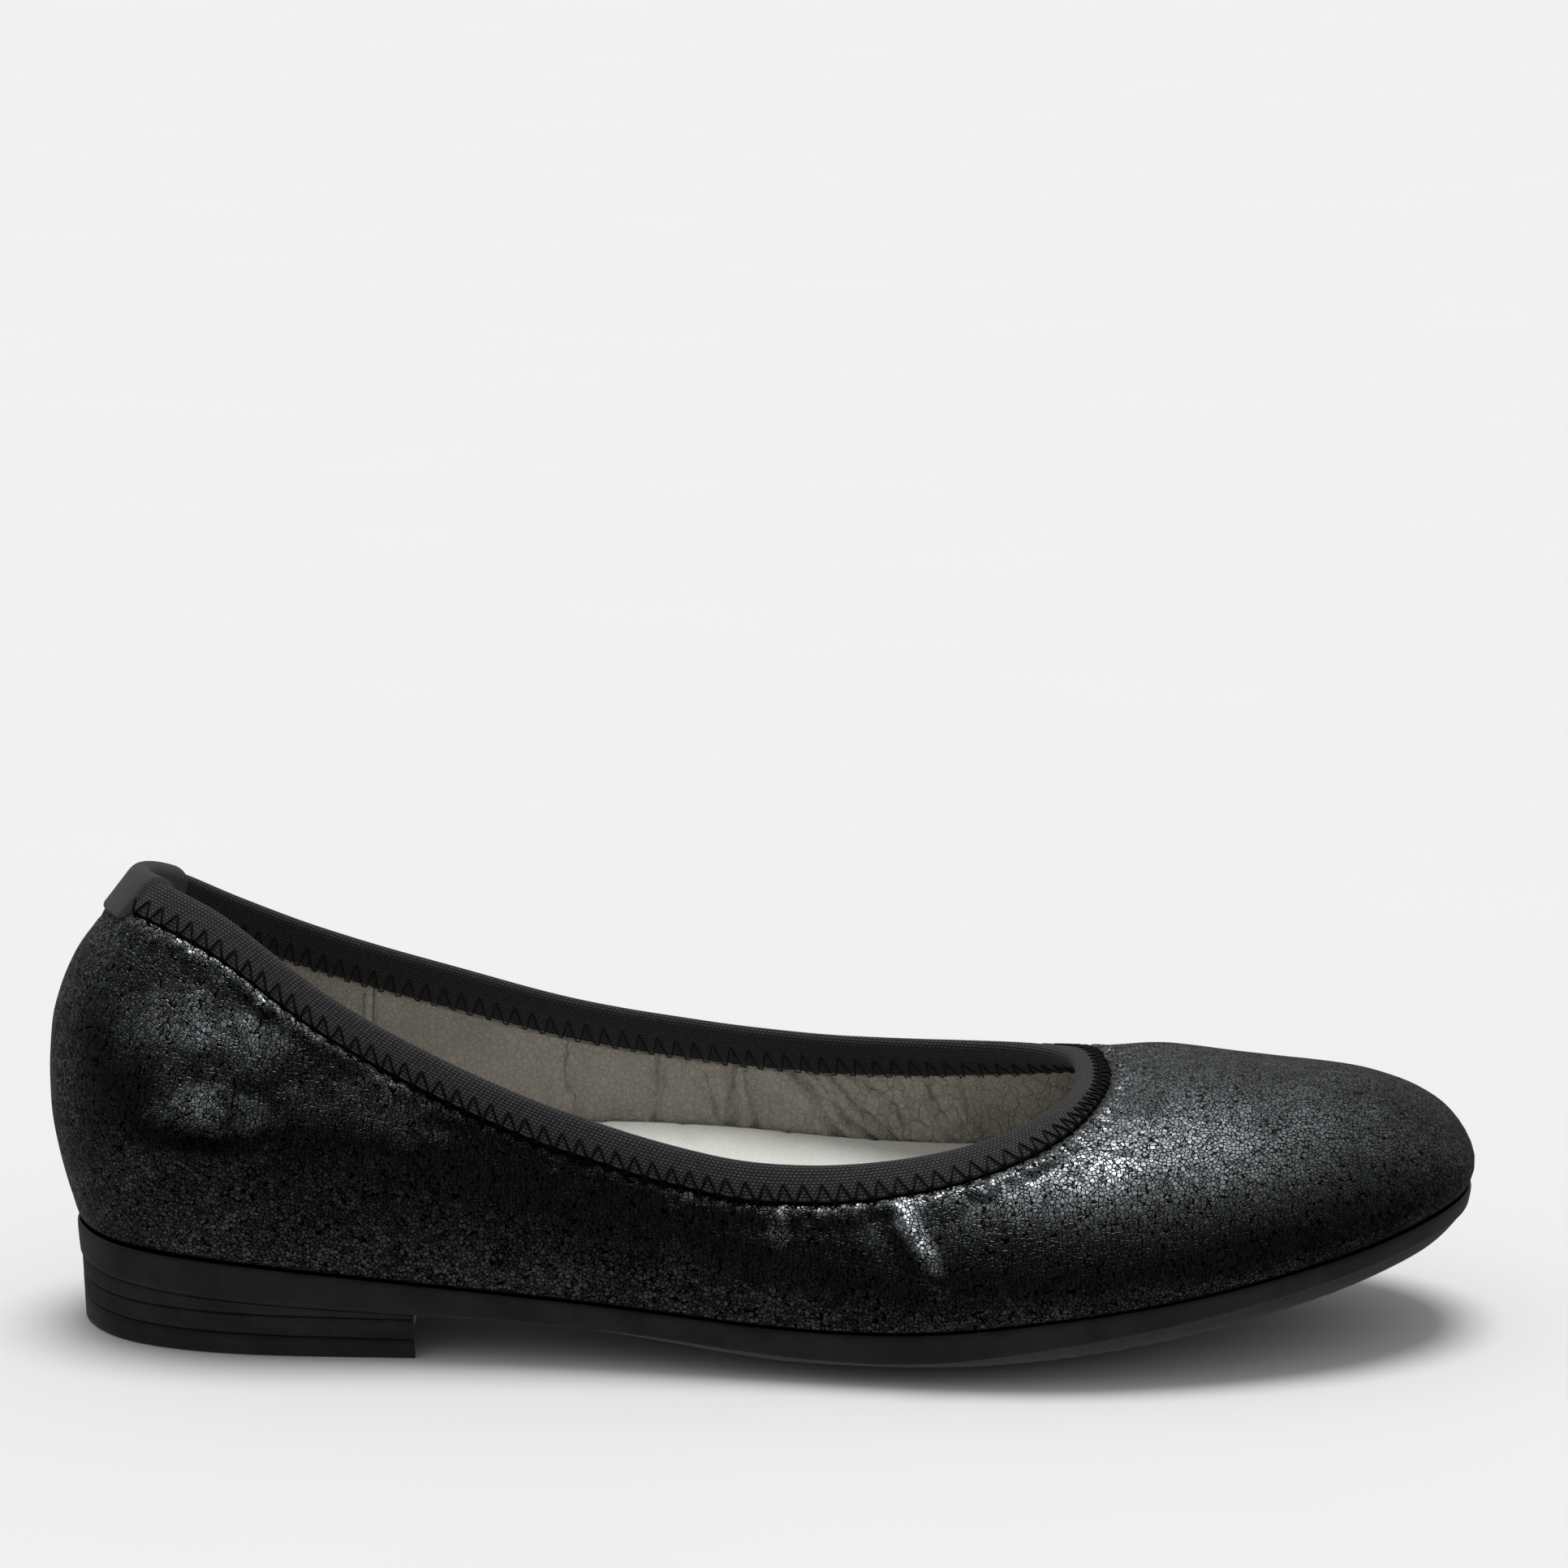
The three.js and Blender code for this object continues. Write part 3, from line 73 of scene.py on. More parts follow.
    108.00, 23.00, 20.20, 107.91, 23.76, 21.58, 107.70, 24.37, 23.71, 107.37, 24.91, 26.83, 106.92, 25.21, 30.60, 106.35, 25.22, 35.02, 105.75, 24.92, 39.42, 105.16, 24.42, 43.48, 104.65, 23.83, 46.88, 104.26, 23.32, 49.35, 103.96, 22.89, 51.18,
    88.00, 21.80, 20.80, 87.98, 22.52, 22.36, 87.92, 23.14, 24.68, 87.78, 23.75, 28.06, 87.59, 24.16, 32.16, 87.32, 24.28, 36.97, 87.02, 24.09, 41.77, 86.70, 23.66, 46.21, 86.42, 23.14, 49.94, 86.20, 22.67, 52.65, 86.03, 22.27, 54.66,
    68.00, 22.80, 19.80, 68.04, 23.51, 21.69, 68.07, 24.18, 24.44, 68.11, 24.83, 28.42, 68.13, 25.28, 33.25, 68.15, 25.38, 38.90, 68.12, 24.93, 44.53, 68.07, 24.11, 49.72, 68.02, 23.24, 54.08, 67.99, 22.55, 57.23, 67.96, 22.03, 59.60,
    48.00, 25.20, 18.60, 47.98, 25.90, 20.85, 47.99, 26.62, 24.06, 48.07, 27.35, 28.72, 48.24, 27.81, 34.35, 48.53, 27.84, 40.93, 48.88, 27.19, 47.48, 49.19, 25.67, 53.40, 49.49, 24.08, 58.32, 49.76, 22.94, 61.91, 49.99, 22.17, 64.62,
    30.00, 26.00, 18.20, 29.80, 26.69, 20.84, 29.61, 27.50, 24.58, 29.49, 28.35, 29.99, 29.60, 28.90, 36.54, 30.05, 28.90, 44.19, 30.79, 27.51, 51.67, 31.70, 24.90, 58.23, 32.61, 22.41, 63.64, 33.35, 20.74, 67.62, 33.96, 19.68, 70.67,
    16.00, 23.00, 18.20, 15.58, 23.60, 21.19, 15.03, 24.44, 25.39, 14.49, 25.41, 31.45, 14.32, 26.11, 38.80, 15.00, 25.59, 47.36, 16.68, 23.30, 55.49, 18.82, 20.38, 62.63, 20.89, 17.79, 68.54, 22.47, 16.05, 72.88, 23.68, 14.92, 76.18,
    7.00, 16.60, 18.20, 6.36, 17.00, 21.46, 5.37, 17.63, 25.99, 4.19, 18.39, 32.53, 3.42, 18.94, 40.50, 3.67, 18.87, 49.85, 5.97, 17.23, 58.74, 9.44, 14.71, 66.30, 12.79, 12.37, 72.42, 15.23, 10.78, 76.91, 16.97, 9.73, 80.37,
    2.00, 9.00, 18.20, 1.22, 9.18, 21.58, -0.05, 9.47, 26.27, -1.61, 9.81, 33.04, -2.69, 9.96, 41.31, -2.55, 9.73, 51.03, -0.81, 9.04, 60.56, 3.20, 7.62, 68.51, 7.58, 6.13, 74.60, 10.78, 5.09, 79.03, 12.99, 4.40, 82.50,
]).reshape(36, 11, 3)
SHIFT = np.array([-123.69479, 1.70002, 0.0])     # last frame to row frame, mm
NS = 36
RAND_HEIGHT = [5.2, 5.2, 5.2, 5.1, 5, 4.9, 4.6, 4.3, 4.2, 4.6, 5, 4.9, 4.4, 3.8, 3.5, 3.3, 3.2, 3.1, 3.1]
MID_X = [20, 21.5, 25, 31, 39, 51, 67, 86, 106, 126, 145, 161, 177, 192, 205, 215, 222.5, 227, 228.5]
MID_Y = [0, 0, 0, 0, 0, -0.6, -1.6, -3, -4.2, -4.8, -4.6, -3.6, -2.4, -1, 0.3, 1.3, 2, 2.6, 2.8]
KEEL = np.array([[60, 8.8], [66, 8.5], [85, 6.4], [105, 3.2], [120, 1.0], [129, 0], [162, 0], [176, 1.1], [192, 3.6], [205, 6.6], [215, 9.6], [222.5, 12.2], [228.5, 14.2]], float)
HEEL_PLANE = (12.2, -0.057)
LIFT_PLANE = (8.35, -0.0145)
TOP_PIECE_PLANE = (4.55, -0.0155)
HEEL_BREAST_X = 63.2
BINDING_WIDTH = 6.8
MEDIAL_SEAM_U = 27.3
HEEL_LINING_U = 5.12
FOOTBED = 4.3
SOCK_CUP_MEDIAL, SOCK_CUP_LATERAL = 3.9, 1.6
LINING_IN = 3.8


def second_matrix(xs):
    n = len(xs)
    A, B = np.zeros((n, n)), np.zeros((n, n))
    A[0, 0] = A[-1, -1] = 1
    for i in range(1, n - 1):
        h0, h1 = xs[i] - xs[i - 1], xs[i + 1] - xs[i]
        A[i, i - 1], A[i, i], A[i, i + 1] = h0, 2 * (h0 + h1), h1
        B[i, i - 1], B[i, i], B[i, i + 1] = 6 / h0, -6 / h0 - 6 / h1, 6 / h1
    return np.linalg.solve(A, B)


WX = np.arange(-8, NS + 9, dtype=float)
KU = second_matrix(WX)
KV = second_matrix(LEVELS)


class Periodic:
    def __init__(self, values):
        v = np.asarray(values, float)
        self.y = v[WX.astype(int) % NS]
        self.m = np.tensordot(KU, self.y, 1)

    def __call__(self, u):
        u = np.mod(np.asarray(u, float), NS)
        lo = np.minimum(np.floor(u).astype(int), NS - 1) + 8
        b = u - (lo - 8)
        s = (slice(None),) * u.ndim + (None,) * (self.y.ndim - 1)
        b = b[s]
        a = 1 - b
        return a * self.y[lo] + b * self.y[lo + 1] + ((a ** 3 - a) * self.m[lo] + (b ** 3 - b) * self.m[lo + 1]) / 6


NET = Periodic(STATIONS)
KV_H = np.diff(LEVELS)


def P(u, v):
    u, v = np.broadcast_arrays(np.asarray(u, float), np.asarray(v, float))
    shape = u.shape
    u, v = u.ravel(), v.ravel()
    out = np.empty((len(u), 3))
    for k in range(0, len(u), 60000):
        y = NET(u[k:k + 60000])
        m = np.einsum("ij,njc->nic", KV, y)
        w = v[k:k + 60000]
        lo = np.clip(np.searchsorted(LEVELS, w, side="right") - 1, 0, 9)
        h = KV_H[lo]
        a = ((LEVELS[lo + 1] - w) / h)[:, None]
        b = ((w - LEVELS[lo]) / h)[:, None]
        i = np.arange(len(w))
        out[k:k + 60000] = a * y[i, lo] + b * y[i, lo + 1] + ((a ** 3 - a) * m[i, lo] + (b ** 3 - b) * m[i, lo + 1]) * (h ** 2)[:, None] / 6
    return out.reshape(*shape, 3)


def unit(a):
    return a / np.maximum(np.linalg.norm(a, axis=-1, keepdims=True), 1e-12)


_gu = np.arange(0, 721) / 20.0
_gp = P(_gu[:, None], np.linspace(0, 1, 61)[None, :])
_gl = np.linalg.norm(np.diff(_gp, axis=1), axis=-1).sum(1)


def girth(u):
    return np.interp(np.mod(u, NS), _gu, _gl)


def tangents(u, v):
    e = 1e-3
    du = unit(P(u + e, v) - P(u - e, v))
    dv = unit(P(u, np.minimum(v + e, 1)) - P(u, np.maximum(v - e, 0)))
    return du, dv, unit(np.cross(du, dv))


def from_fold(u, l, d):
    """Point l mm below the fold edge of the topline (above it when negative), d mm inside the surface."""
    u, l, d = np.broadcast_arrays(np.asarray(u, float), np.asarray(l, float), np.asarray(d, float))
    v = np.clip(1 - np.maximum(l, 0) / girth(u), 0, 1)
    _, dv, n = tangents(u, v)
    return P(u, v) - n * d[..., None] + dv * np.maximum(-l, 0)[..., None]


def smooth(a, b, x):
    t = np.clip((np.asarray(x, float) - a) / (b - a), 0, 1)
    return t * t * (3 - 2 * t)


def mix(a, b, t):
    return a + (b - a) * t


def mirrored(values):
    return Periodic([values[i if i <= 18 else 36 - i] for i in range(NS)])


mid_x, mid_y, rand_at = mirrored(MID_X), mirrored(MID_Y), mirrored(RAND_HEIGHT)
_km = second_matrix(KEEL[:, 0]) @ KEEL[:, 1]


def keel(x):
    x = np.clip(x, KEEL[0, 0], KEEL[-1, 0])
    lo = np.clip(np.searchsorted(KEEL[:, 0], x, side="right") - 1, 0, len(KEEL) - 2)
    h = KEEL[lo + 1, 0] - KEEL[lo, 0]
    a, b = (KEEL[lo + 1, 0] - x) / h, (x - KEEL[lo, 0]) / h
    return a * KEEL[lo, 1] + b * KEEL[lo + 1, 1] + ((a ** 3 - a) * _km[lo] + (b ** 3 - b) * _km[lo + 1]) * h * h / 6


def feather(u):
    return P(u, 0.0)


def outward(u):
    t = feather(u + 0.01) - feather(u - 0.01)
    t[..., 2] = 0
    t = unit(t)
    return np.stack([t[..., 1], -t[..., 0], np.zeros_like(t[..., 0])], -1)


def seat_z(u, r):
    a, b = feather(u)[..., 2], feather(NS - u)[..., 2]
    return mix((a + b) / 2, a, r)


def inside_wall(u, h, clearance):
    vs = np.linspace(0, 0.6, 240)
    z = P(u[:, None], vs[None, :])[..., 2]
    z0 = z[:, 0] + h
    k = np.maximum(1, np.argmax(z >= z0[:, None], axis=1))
    i = np.arange(len(u))
    t = np.clip((z0 - z[i, k - 1]) / (z[i, k] - z[i, k - 1]), 0, 1)
    v = mix(vs[k - 1], vs[k], t)
    _, _, n = tangents(u, v)
    return P(u, v) - n * (LINING_IN + clearance)[:, None]


# ---- deterministic value noise ---------------------------------------------------------
_rs = np.random.RandomState(7)
_lat = _rs.rand(32, 32, 32) * 2 - 1


def noise(p, size, seed=0):
    """Smooth noise in -1..1 with features of about size mm."""
    q = np.asarray(p, float) / size + np.array([seed * 3.17, seed * 5.71, seed * 1.93])
    i = np.floor(q).astype(int)
    f = q - i
    f = f * f * f * (f * (f * 6 - 15) + 10)
    out = 0
    for dx in (0, 1):
        for dy in (0, 1):
            for dz in (0, 1):
                w = (f[..., 0] if dx else 1 - f[..., 0]) * (f[..., 1] if dy else 1 - f[..., 1]) * (f[..., 2] if dz else 1 - f[..., 2])
                out = out + w * _lat[(i[..., 0] + dx) % 32, (i[..., 1] + dy) % 32, (i[..., 2] + dz) % 32]
    return out


# ---- mesh builders ------------------------------------------------------------------------
def build(name, verts, quads, uv=None, weld=False, sharp=None, extra=()):
    """quads is an (n, 4) array; extra holds any other polygons."""
    v = (np.asarray(verts, float).reshape(-1, 3) + SHIFT) / 1000.0
    q = np.asarray(quads, int).reshape(-1, 4)
    polys = [np.asarray(e, int) for e in extra]
    vol = sum(np.einsum("ij,ij->i", v[q[:, 0]], np.cross(v[q[:, k]], v[q[:, k + 1]])).sum() for k in (1, 2))
    for e in polys:
        for k in range(1, len(e) - 1):
            vol += np.dot(v[e[0]], np.cross(v[e[k]], v[e[k + 1]]))
    if vol < 0:
        q = q[:, ::-1]
        polys = [e[::-1] for e in polys]
    loops = np.concatenate([q.ravel()] + polys)
    sizes = np.concatenate([np.full(len(q), 4), np.array([len(e) for e in polys], int)]).astype(int)
    me = bpy.data.meshes.new(name)
    me.vertices.add(len(v))
    me.vertices.foreach_set("co", v.astype(np.float32).ravel())
    me.loops.add(len(loops))
    me.loops.foreach_set("vertex_index", loops.astype(np.int32))
    me.polygons.add(len(sizes))
    me.polygons.foreach_set("loop_start", np.concatenate([[0], np.cumsum(sizes)[:-1]]).astype(np.int32))
    me.update(calc_edges=True)
    if uv is not None:
        layer = me.uv_layers.new(name="piece_mm")
        layer.data.foreach_set("uv", np.asarray(uv, np.float32).reshape(-1, 2)[loops].ravel())
    if weld:
        bm = bmesh.new()
        bm.from_mesh(me)
        bmesh.ops.remove_doubles(bm, verts=bm.verts, dist=2e-6)
        bm.to_mesh(me)
        bm.free()
    me.validate()
    me.update()
    if sharp is None:
        me.polygons.foreach_set("use_smooth", np.ones(len(me.polygons), bool))
    else:
        me.shade_smooth()
        me.set_sharp_from_angle(angle=math.radians(sharp))
    ob = bpy.data.objects.new(name, me)
    bpy.context.scene.collection.objects.link(ob)
    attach(ob, "root")
    return ob


def grid_faces(nu, nv, base=0, flip=False, wrap=False):
    iu = np.arange(nu if wrap else nu - 1)
    i, j = np.meshgrid(iu, np.arange(nv - 1), indexing="ij")
    i2 = (i + 1) % nu
    a, b, c, d = base + i * nv + j, base + i2 * nv + j, base + i2 * nv + j + 1, base + i * nv + j + 1
    q = np.stack([a, b, c, d], -1).reshape(-1, 4)
    return q[:, ::-1] if flip else q


def shell(name, outer, inner, uv=None, sharp=None):
    nu, nv = outer.shape[:2]
    m = nu * nv
    faces = [grid_faces(nu, nv), grid_faces(nu, nv, m, flip=True)]
    i = np.arange(nu - 1)
    faces.append(np.stack([i * nv, m + i * nv, m + (i + 1) * nv, (i + 1) * nv], -1))
    e = nv - 1
    faces.append(np.stack([i * nv + e, (i + 1) * nv + e, m + (i + 1) * nv + e, m + i * nv + e], -1))
    j = np.arange(nv - 1)
    faces.append(np.stack([j, j + 1, m + j + 1, m + j], -1))
    k = (nu - 1) * nv
    faces.append(np.stack([k + j, m + k + j, m + k + j + 1, k + j + 1], -1))
    if uv is not None:
        uv = np.concatenate([uv.reshape(-1, 2), uv.reshape(-1, 2)])
    return build(name, np.concatenate([outer.reshape(-1, 3), inner.reshape(-1, 3)]), np.concatenate(faces), uv, sharp=sharp)


def ring_sweep(name, sections, closed, uv=None, sharp=None):
    """Closed cross-sections swept along a line."""
    n, k = sections.shape[:2]
    i, j = np.meshgrid(np.arange(n if closed else n - 1), np.arange(k), indexing="ij")
    i2, j2 = (i + 1) % n, (j + 1) % k
    q = np.stack([i * k + j, i2 * k + j, i2 * k + j2, i * k + j2], -1).reshape(-1, 4)
    v = sections.reshape(-1, 3)
    caps = []
    if not closed:
        v = np.concatenate([v, sections[0].mean(0)[None], sections[-1].mean(0)[None]])
        c0, c1, b = n * k, n * k + 1, (n - 1) * k
        for j in range(k):
            caps.append([c0, j, (j + 1) % k])
            caps.append([c1, b + (j + 1) % k, b + j])
        if uv is not None:
            uv = np.concatenate([uv.reshape(-1, 2), uv.reshape(n, k, 2)[0].mean(0)[None], uv.reshape(n, k, 2)[-1].mean(0)[None]])
    return build(name, v, q, uv, sharp=sharp, extra=caps)


def tube_sections(path, radius, sides=6, up=None, closed=False):
    if closed:
        t = unit(np.roll(path, -1, 0) - np.roll(path, 1, 0))
    else:
        t = unit(np.gradient(path, axis=0))
    a = unit(np.cross(t, up))
    b = np.cross(a, t)
    th = np.arange(sides) * 2 * np.pi / sides
    return path[:, None] + radius * (np.cos(th)[None, :, None] * a[:, None] + np.sin(th)[None, :, None] * b[:, None])

# ==== pieces ==================================================================================
# ---- topline lengths: arc along the opening at 5 mm below the fold ---------------------------
_au = np.linspace(0, NS, 1801)
_ap = from_fold(_au, 5.0, 0.0)
_as = np.concatenate([[0], np.cumsum(np.linalg.norm(np.diff(_ap, axis=0), axis=1))])
ARC = _as[-1]


def arc_of(u):
    return np.interp(np.mod(u, NS), _au, _as)


def u_of(s):
    return np.interp(np.mod(s, ARC), _as, _au)


# zigzag count along the topline: stitches are closer round the throat, where the elastic gathers
_pitch = 3.35 - 1.15 * smooth(11.5, 15.0, _au) * (1 - smooth(20.5, 24.0, _au))
_zz = np.concatenate([[0], np.cumsum(np.diff(_as) / (0.5 * (_pitch[1:] + _pitch[:-1])))])
ZIGS = int(round(_zz[-1]))
_zz *= ZIGS / _zz[-1]


def zig_of(u):
    return np.interp(np.mod(u, NS), _au, _zz)


def u_of_zig(z):
    return np.interp(np.mod(z, ZIGS), _zz, _au)


# ---- outer leather ----------------------------------------------------------------------------
def leather_relief(p, u, l):
    """How far the skin stands in front of the last, mm: gathers under the tape, soft folds, uneven stretch."""
    zc = zig_of(u)
    gather = 0.5 - 0.5 * np.cos(2 * np.pi * zc)
    amp = 0.34 + 0.16 * noise(p, 9, 3)
    puff = amp * gather * np.exp(-((l - 2.75 - 6.85 * tape_width(u)) / 1.4) ** 2)
    puff += 0.30 * noise(p, 2.6, 5) * np.exp(-((l - 11.0) / 3.0) ** 2)
    pull = -0.42 * np.exp(-((l - 0.35 - 6.85 * tape_width(u)) / 1.0) ** 2)
    x, y, z = p[..., 0], p[..., 1], p[..., 2]
    heel = 1 - smooth(35, 95, x)
    wave = (0.20 + 0.30 * heel) * noise(p, 26, 1) + (0.10 + 0.14 * heel) * noise(p, 11, 2) * (0.6 + 0.4 * noise(p, 40, 4)) + (0.035 + 0.02 * heel) * noise(p, 4.5, 8)
    lat = y < 0
    # two soft folds where the vamp flexes on the lateral side
    def fold(x0, z0, x1, z1, width, height):
        dx, dz = x1 - x0, z1 - z0
        n = math.hypot(dx, dz)
        t = ((x - x0) * dx + (z - z0) * dz) / n ** 2
        off = ((x - x0) * dz - (z - z0) * dx) / n
        body = np.exp(-np.maximum(0, np.abs(t - 0.5) - 0.35) ** 2 / 0.03)
        return height * body * (np.exp(-(off / width) ** 2) - 0.55 * np.exp(-((off - 1.9 * width) / width) ** 2))
    wave = wave + np.where(lat, fold(147.5, 34, 156.5, 19, 2.3, 0.85) + fold(140.0, 33, 143.5, 23, 2.0, 0.30)
                           + fold(130.0, 34, 128.0, 25, 2.0, 0.22) + fold(112, 33, 109, 24, 2.4, 0.22) + fold(166, 36, 170, 26, 2.4, 0.14), 0)
    # the stiffener pushes a low bulge out at the side of the heel
    side = np.where(lat, 1.0, 0.8)
    wave = wave + side * (0.55 * np.exp(-((x - 27) / 8.0) ** 2 - ((z - 42.5) / 4.5) ** 2) - 0.30 * np.exp(-((x - 28) / 11.0) ** 2 - ((z - 51.5) / 3.6) ** 2)
                          + 0.30 * np.exp(-((x - 24) / 7.0) ** 2 - ((z - 56.5) / 2.6) ** 2))
    # pulls running down from the gathered tape at the side
    strain = np.exp(-((l - 14) / 6.0) ** 2) * 0.22 * noise(np.stack([arc_of(u), l * 0.25, 0 * l], -1), 6.0, 11)
    rim = smooth(0.0, 2.6, girth(u) - l)
    return (wave + strain) * np.minimum(rim, 1) + puff + pull


def upper_piece(name, u0, u1, cols):
    u = mix(u0, u1, np.linspace(0, 1, cols))
    u = np.concatenate([[u0], [u0 + 0.012], u[1:-1], [u1 - 0.012], [u1]])
    t = np.linspace(0, 1, 62)
    t = 1 - (1 - t) ** 1.35
    G = girth(u)[:, None]
    W = tape_width(u)[:, None]
    body = mix(G - 0.12, 7.55 * W, t[None, :])
    top = np.array([7.2, 6.95, 6.5, 5.6, 4.8])[None, :] * W
    L = np.concatenate([body, top], 1)
    U = u[:, None] + 0 * L
    base = from_fold(U, L, 0.0)
    d = -leather_relief(base, U, L)
    d[:, -5:] = np.array([0.55, 0.85, 0.95, 0.95, 0.95])
    turn = 0.35 * (1 - smooth(0, 1.0, G - 0.12 - L))
    d = d + turn
    for k, e in ((0, 0.75), (1, 0.2), (-2, 0.2), (-1, 0.75)):
        d[k, :-3] += e
    outer = from_fold(U, L, d)
    din = np.maximum(d + 0.7, 1.1)
    din[:, -5:] = np.array([1.35, 1.55, 1.6, 1.6, 1.6])
    inner = from_fold(U, L, din)
    uv = np.stack([arc_of(U), L], -1)
    return shell(name, outer, inner, uv)


# ---- lining ---------------------------------------------------------------------------------------
def lining_relief(p, u, l):
    x, z = p[..., 0], p[..., 2]
    h = 0.14 * noise(p, 15, 21) + 0.06 * noise(p, 6, 22)
    med = np.where(p[..., 1] > -2, 1.0, 0.35)

    def crease(x0, z0, x1, z1, width, depth):
        dx, dz = x1 - x0, z1 - z0
        n = math.hypot(dx, dz)
        t = ((x - x0) * dx + (z - z0) * dz) / n ** 2
        bend = 0.8 * np.sin(t * 4.1 + x0)
        off = ((x - x0) * dz - (z - z0) * dx) / n + bend
        body = np.exp(-np.maximum(0, np.abs(t - 0.5) - 0.4) ** 2 / 0.02)
        return depth * body * (-np.exp(-(off / width) ** 2) + 0.5 * np.exp(-((off - 2.0 * width) / width) ** 2) + 0.35 * np.exp(-((off + 2.0 * width) / width) ** 2))
    h = h + med * (crease(103.8, 42, 103.0, 26, 0.9, 0.75) + crease(101.2, 37, 100.0, 27, 0.7, 0.40) + crease(111.5, 40, 116.5, 27, 0.8, 0.55)
                   + crease(117.8, 43, 116.2, 27, 0.9, 0.95) + crease(119.8, 42, 122.5, 24, 0.8, 0.70) + crease(86.5, 46, 87.5, 31, 0.9, 0.35)
                   + crease(126, 42, 140, 22, 0.9, 0.90) + crease(129, 41, 144, 24, 0.8, 0.75) + crease(133, 41, 148, 25, 0.8, 0.60)
                   + crease(138, 40, 151, 28, 0.7, 0.45) + crease(146, 41, 155, 27, 0.7, 0.40) + crease(153, 41, 158, 24, 0.8, 0.50)
                   + crease(160, 40, 163, 26, 0.8, 0.45) + crease(148, 33, 166, 36, 0.7, 0.35) + crease(150, 29, 168, 31, 0.7, 0.35))
    # leather pushed together just above the sock
    low = np.exp(-((z - seat_low(u) - 12.6) / 2.6) ** 2)
    h = h + low * 0.40 * np.sin(arc_of(u) * 2 * np.pi / 3.1 + 2.2 * noise(p, 12, 24)) * (0.5 + 0.5 * noise(p, 14, 25)) * med
    # a puckered line below the tape
    h = h + 0.10 * np.cos(2 * np.pi * zig_of(u)) * np.exp(-((l - 2.2 - 6.8 * tape_width(u)) / 1.2) ** 2)
    h = h + smooth(116, 140, x) * (0.16 * np.abs(noise(p, 3.4, 26)) + 0.10 * np.abs(noise(p, 1.8, 27)) - 0.08)
    h = h + 0.05 * noise(p, 2.6, 28)
    return h


def seat_low(u):
    return feather(u)[..., 2]


def lining_piece(name, u0, u1, cols):
    u = mix(u0, u1, np.linspace(0, 1, cols))
    t = np.linspace(0, 1, 76)
    G = girth(u)[:, None]
    body = mix(G - 0.5, 7.9 * tape_width(u)[:, None], t[None, :])
    top = np.array([7.3, 6.9, 6.2, 5.4])[None, :] * tape_width(u)[:, None]
    L = np.concatenate([body, top], 1)
    U = u[:, None] + 0 * L
    p = from_fold(U, L, LINING_IN)
    h = lining_relief(p, U, L) * smooth(0, 4, G - L)
    din = LINING_IN + np.clip(1.0 * h, -0.85, 0.75)
    din[:, -4:] = np.array([3.35, 3.05, 2.75, 2.5])
    edge = np.zeros(cols)
    edge[0] = edge[-1] = 0.20
    din[:, :-4] -= edge[:, None]
    dout = np.minimum(3.0, din - 0.3)
    dout[:, -4:] = np.array([2.75, 2.4, 2.1, 1.95])
    outer, inner = from_fold(U, L, dout), from_fold(U, L, din)
    uv = np.stack([arc_of(U), L], -1)
    return shell(name, outer, inner, uv)


# ---- folded tape round the opening ---------------------------------------------------------------
def smooth_profile(pts, step=0.34):
    """Closed profile through the points with short chords, corners kept round by repeated averaging."""
    pts = np.asarray(pts, float)
    out = []
    for a, b in zip(pts, np.roll(pts, -1, 0)):
        n = max(1, int(round(np.linalg.norm(b - a) / step)))
        for k in range(n):
            out.append(mix(a, b, k / n))
    q = np.array(out)
    for _ in range(2):
        q = 0.25 * np.roll(q, 1, 0) + 0.5 * q + 0.25 * np.roll(q, -1, 0)
    return q


TAPE = smooth_profile([(6.85, -0.30), (5.0, -0.38), (3.0, -0.36), (1.6, -0.30), (0.75, -0.10), (0.18, 0.35), (0.0, 0.95), (0.15, 1.55), (0.7, 2.1), (1.7, 2.45),
                       (3.2, 2.95), (5.0, 3.75), (6.85, 4.62), (6.98, 3.72), (5.2, 2.95), (3.4, 2.2), (2.2, 1.75), (1.7, 1.2), (2.2, 0.62), (4.0, 0.56), (6.95, 0.60)], 0.30)


_tape_len = np.concatenate([[0], np.cumsum(np.linalg.norm(np.diff(TAPE, axis=0), axis=1))])
FOLD_START = float(_tape_len[int(np.argmin(TAPE[:, 0]))])         # the fold, measured along the profile, mm
FOLD_END = float(_tape_len[int(np.argmax(TAPE[:, 1]))])           # the lower edge of the inner half


def tape_width(u):
    """The elastic is drawn in round the throat, so it is narrower there."""
    k = np.minimum(np.mod(u, NS), NS - np.mod(u, NS))
    return 1 - 0.20 * smooth(13.5, 16.5, k)


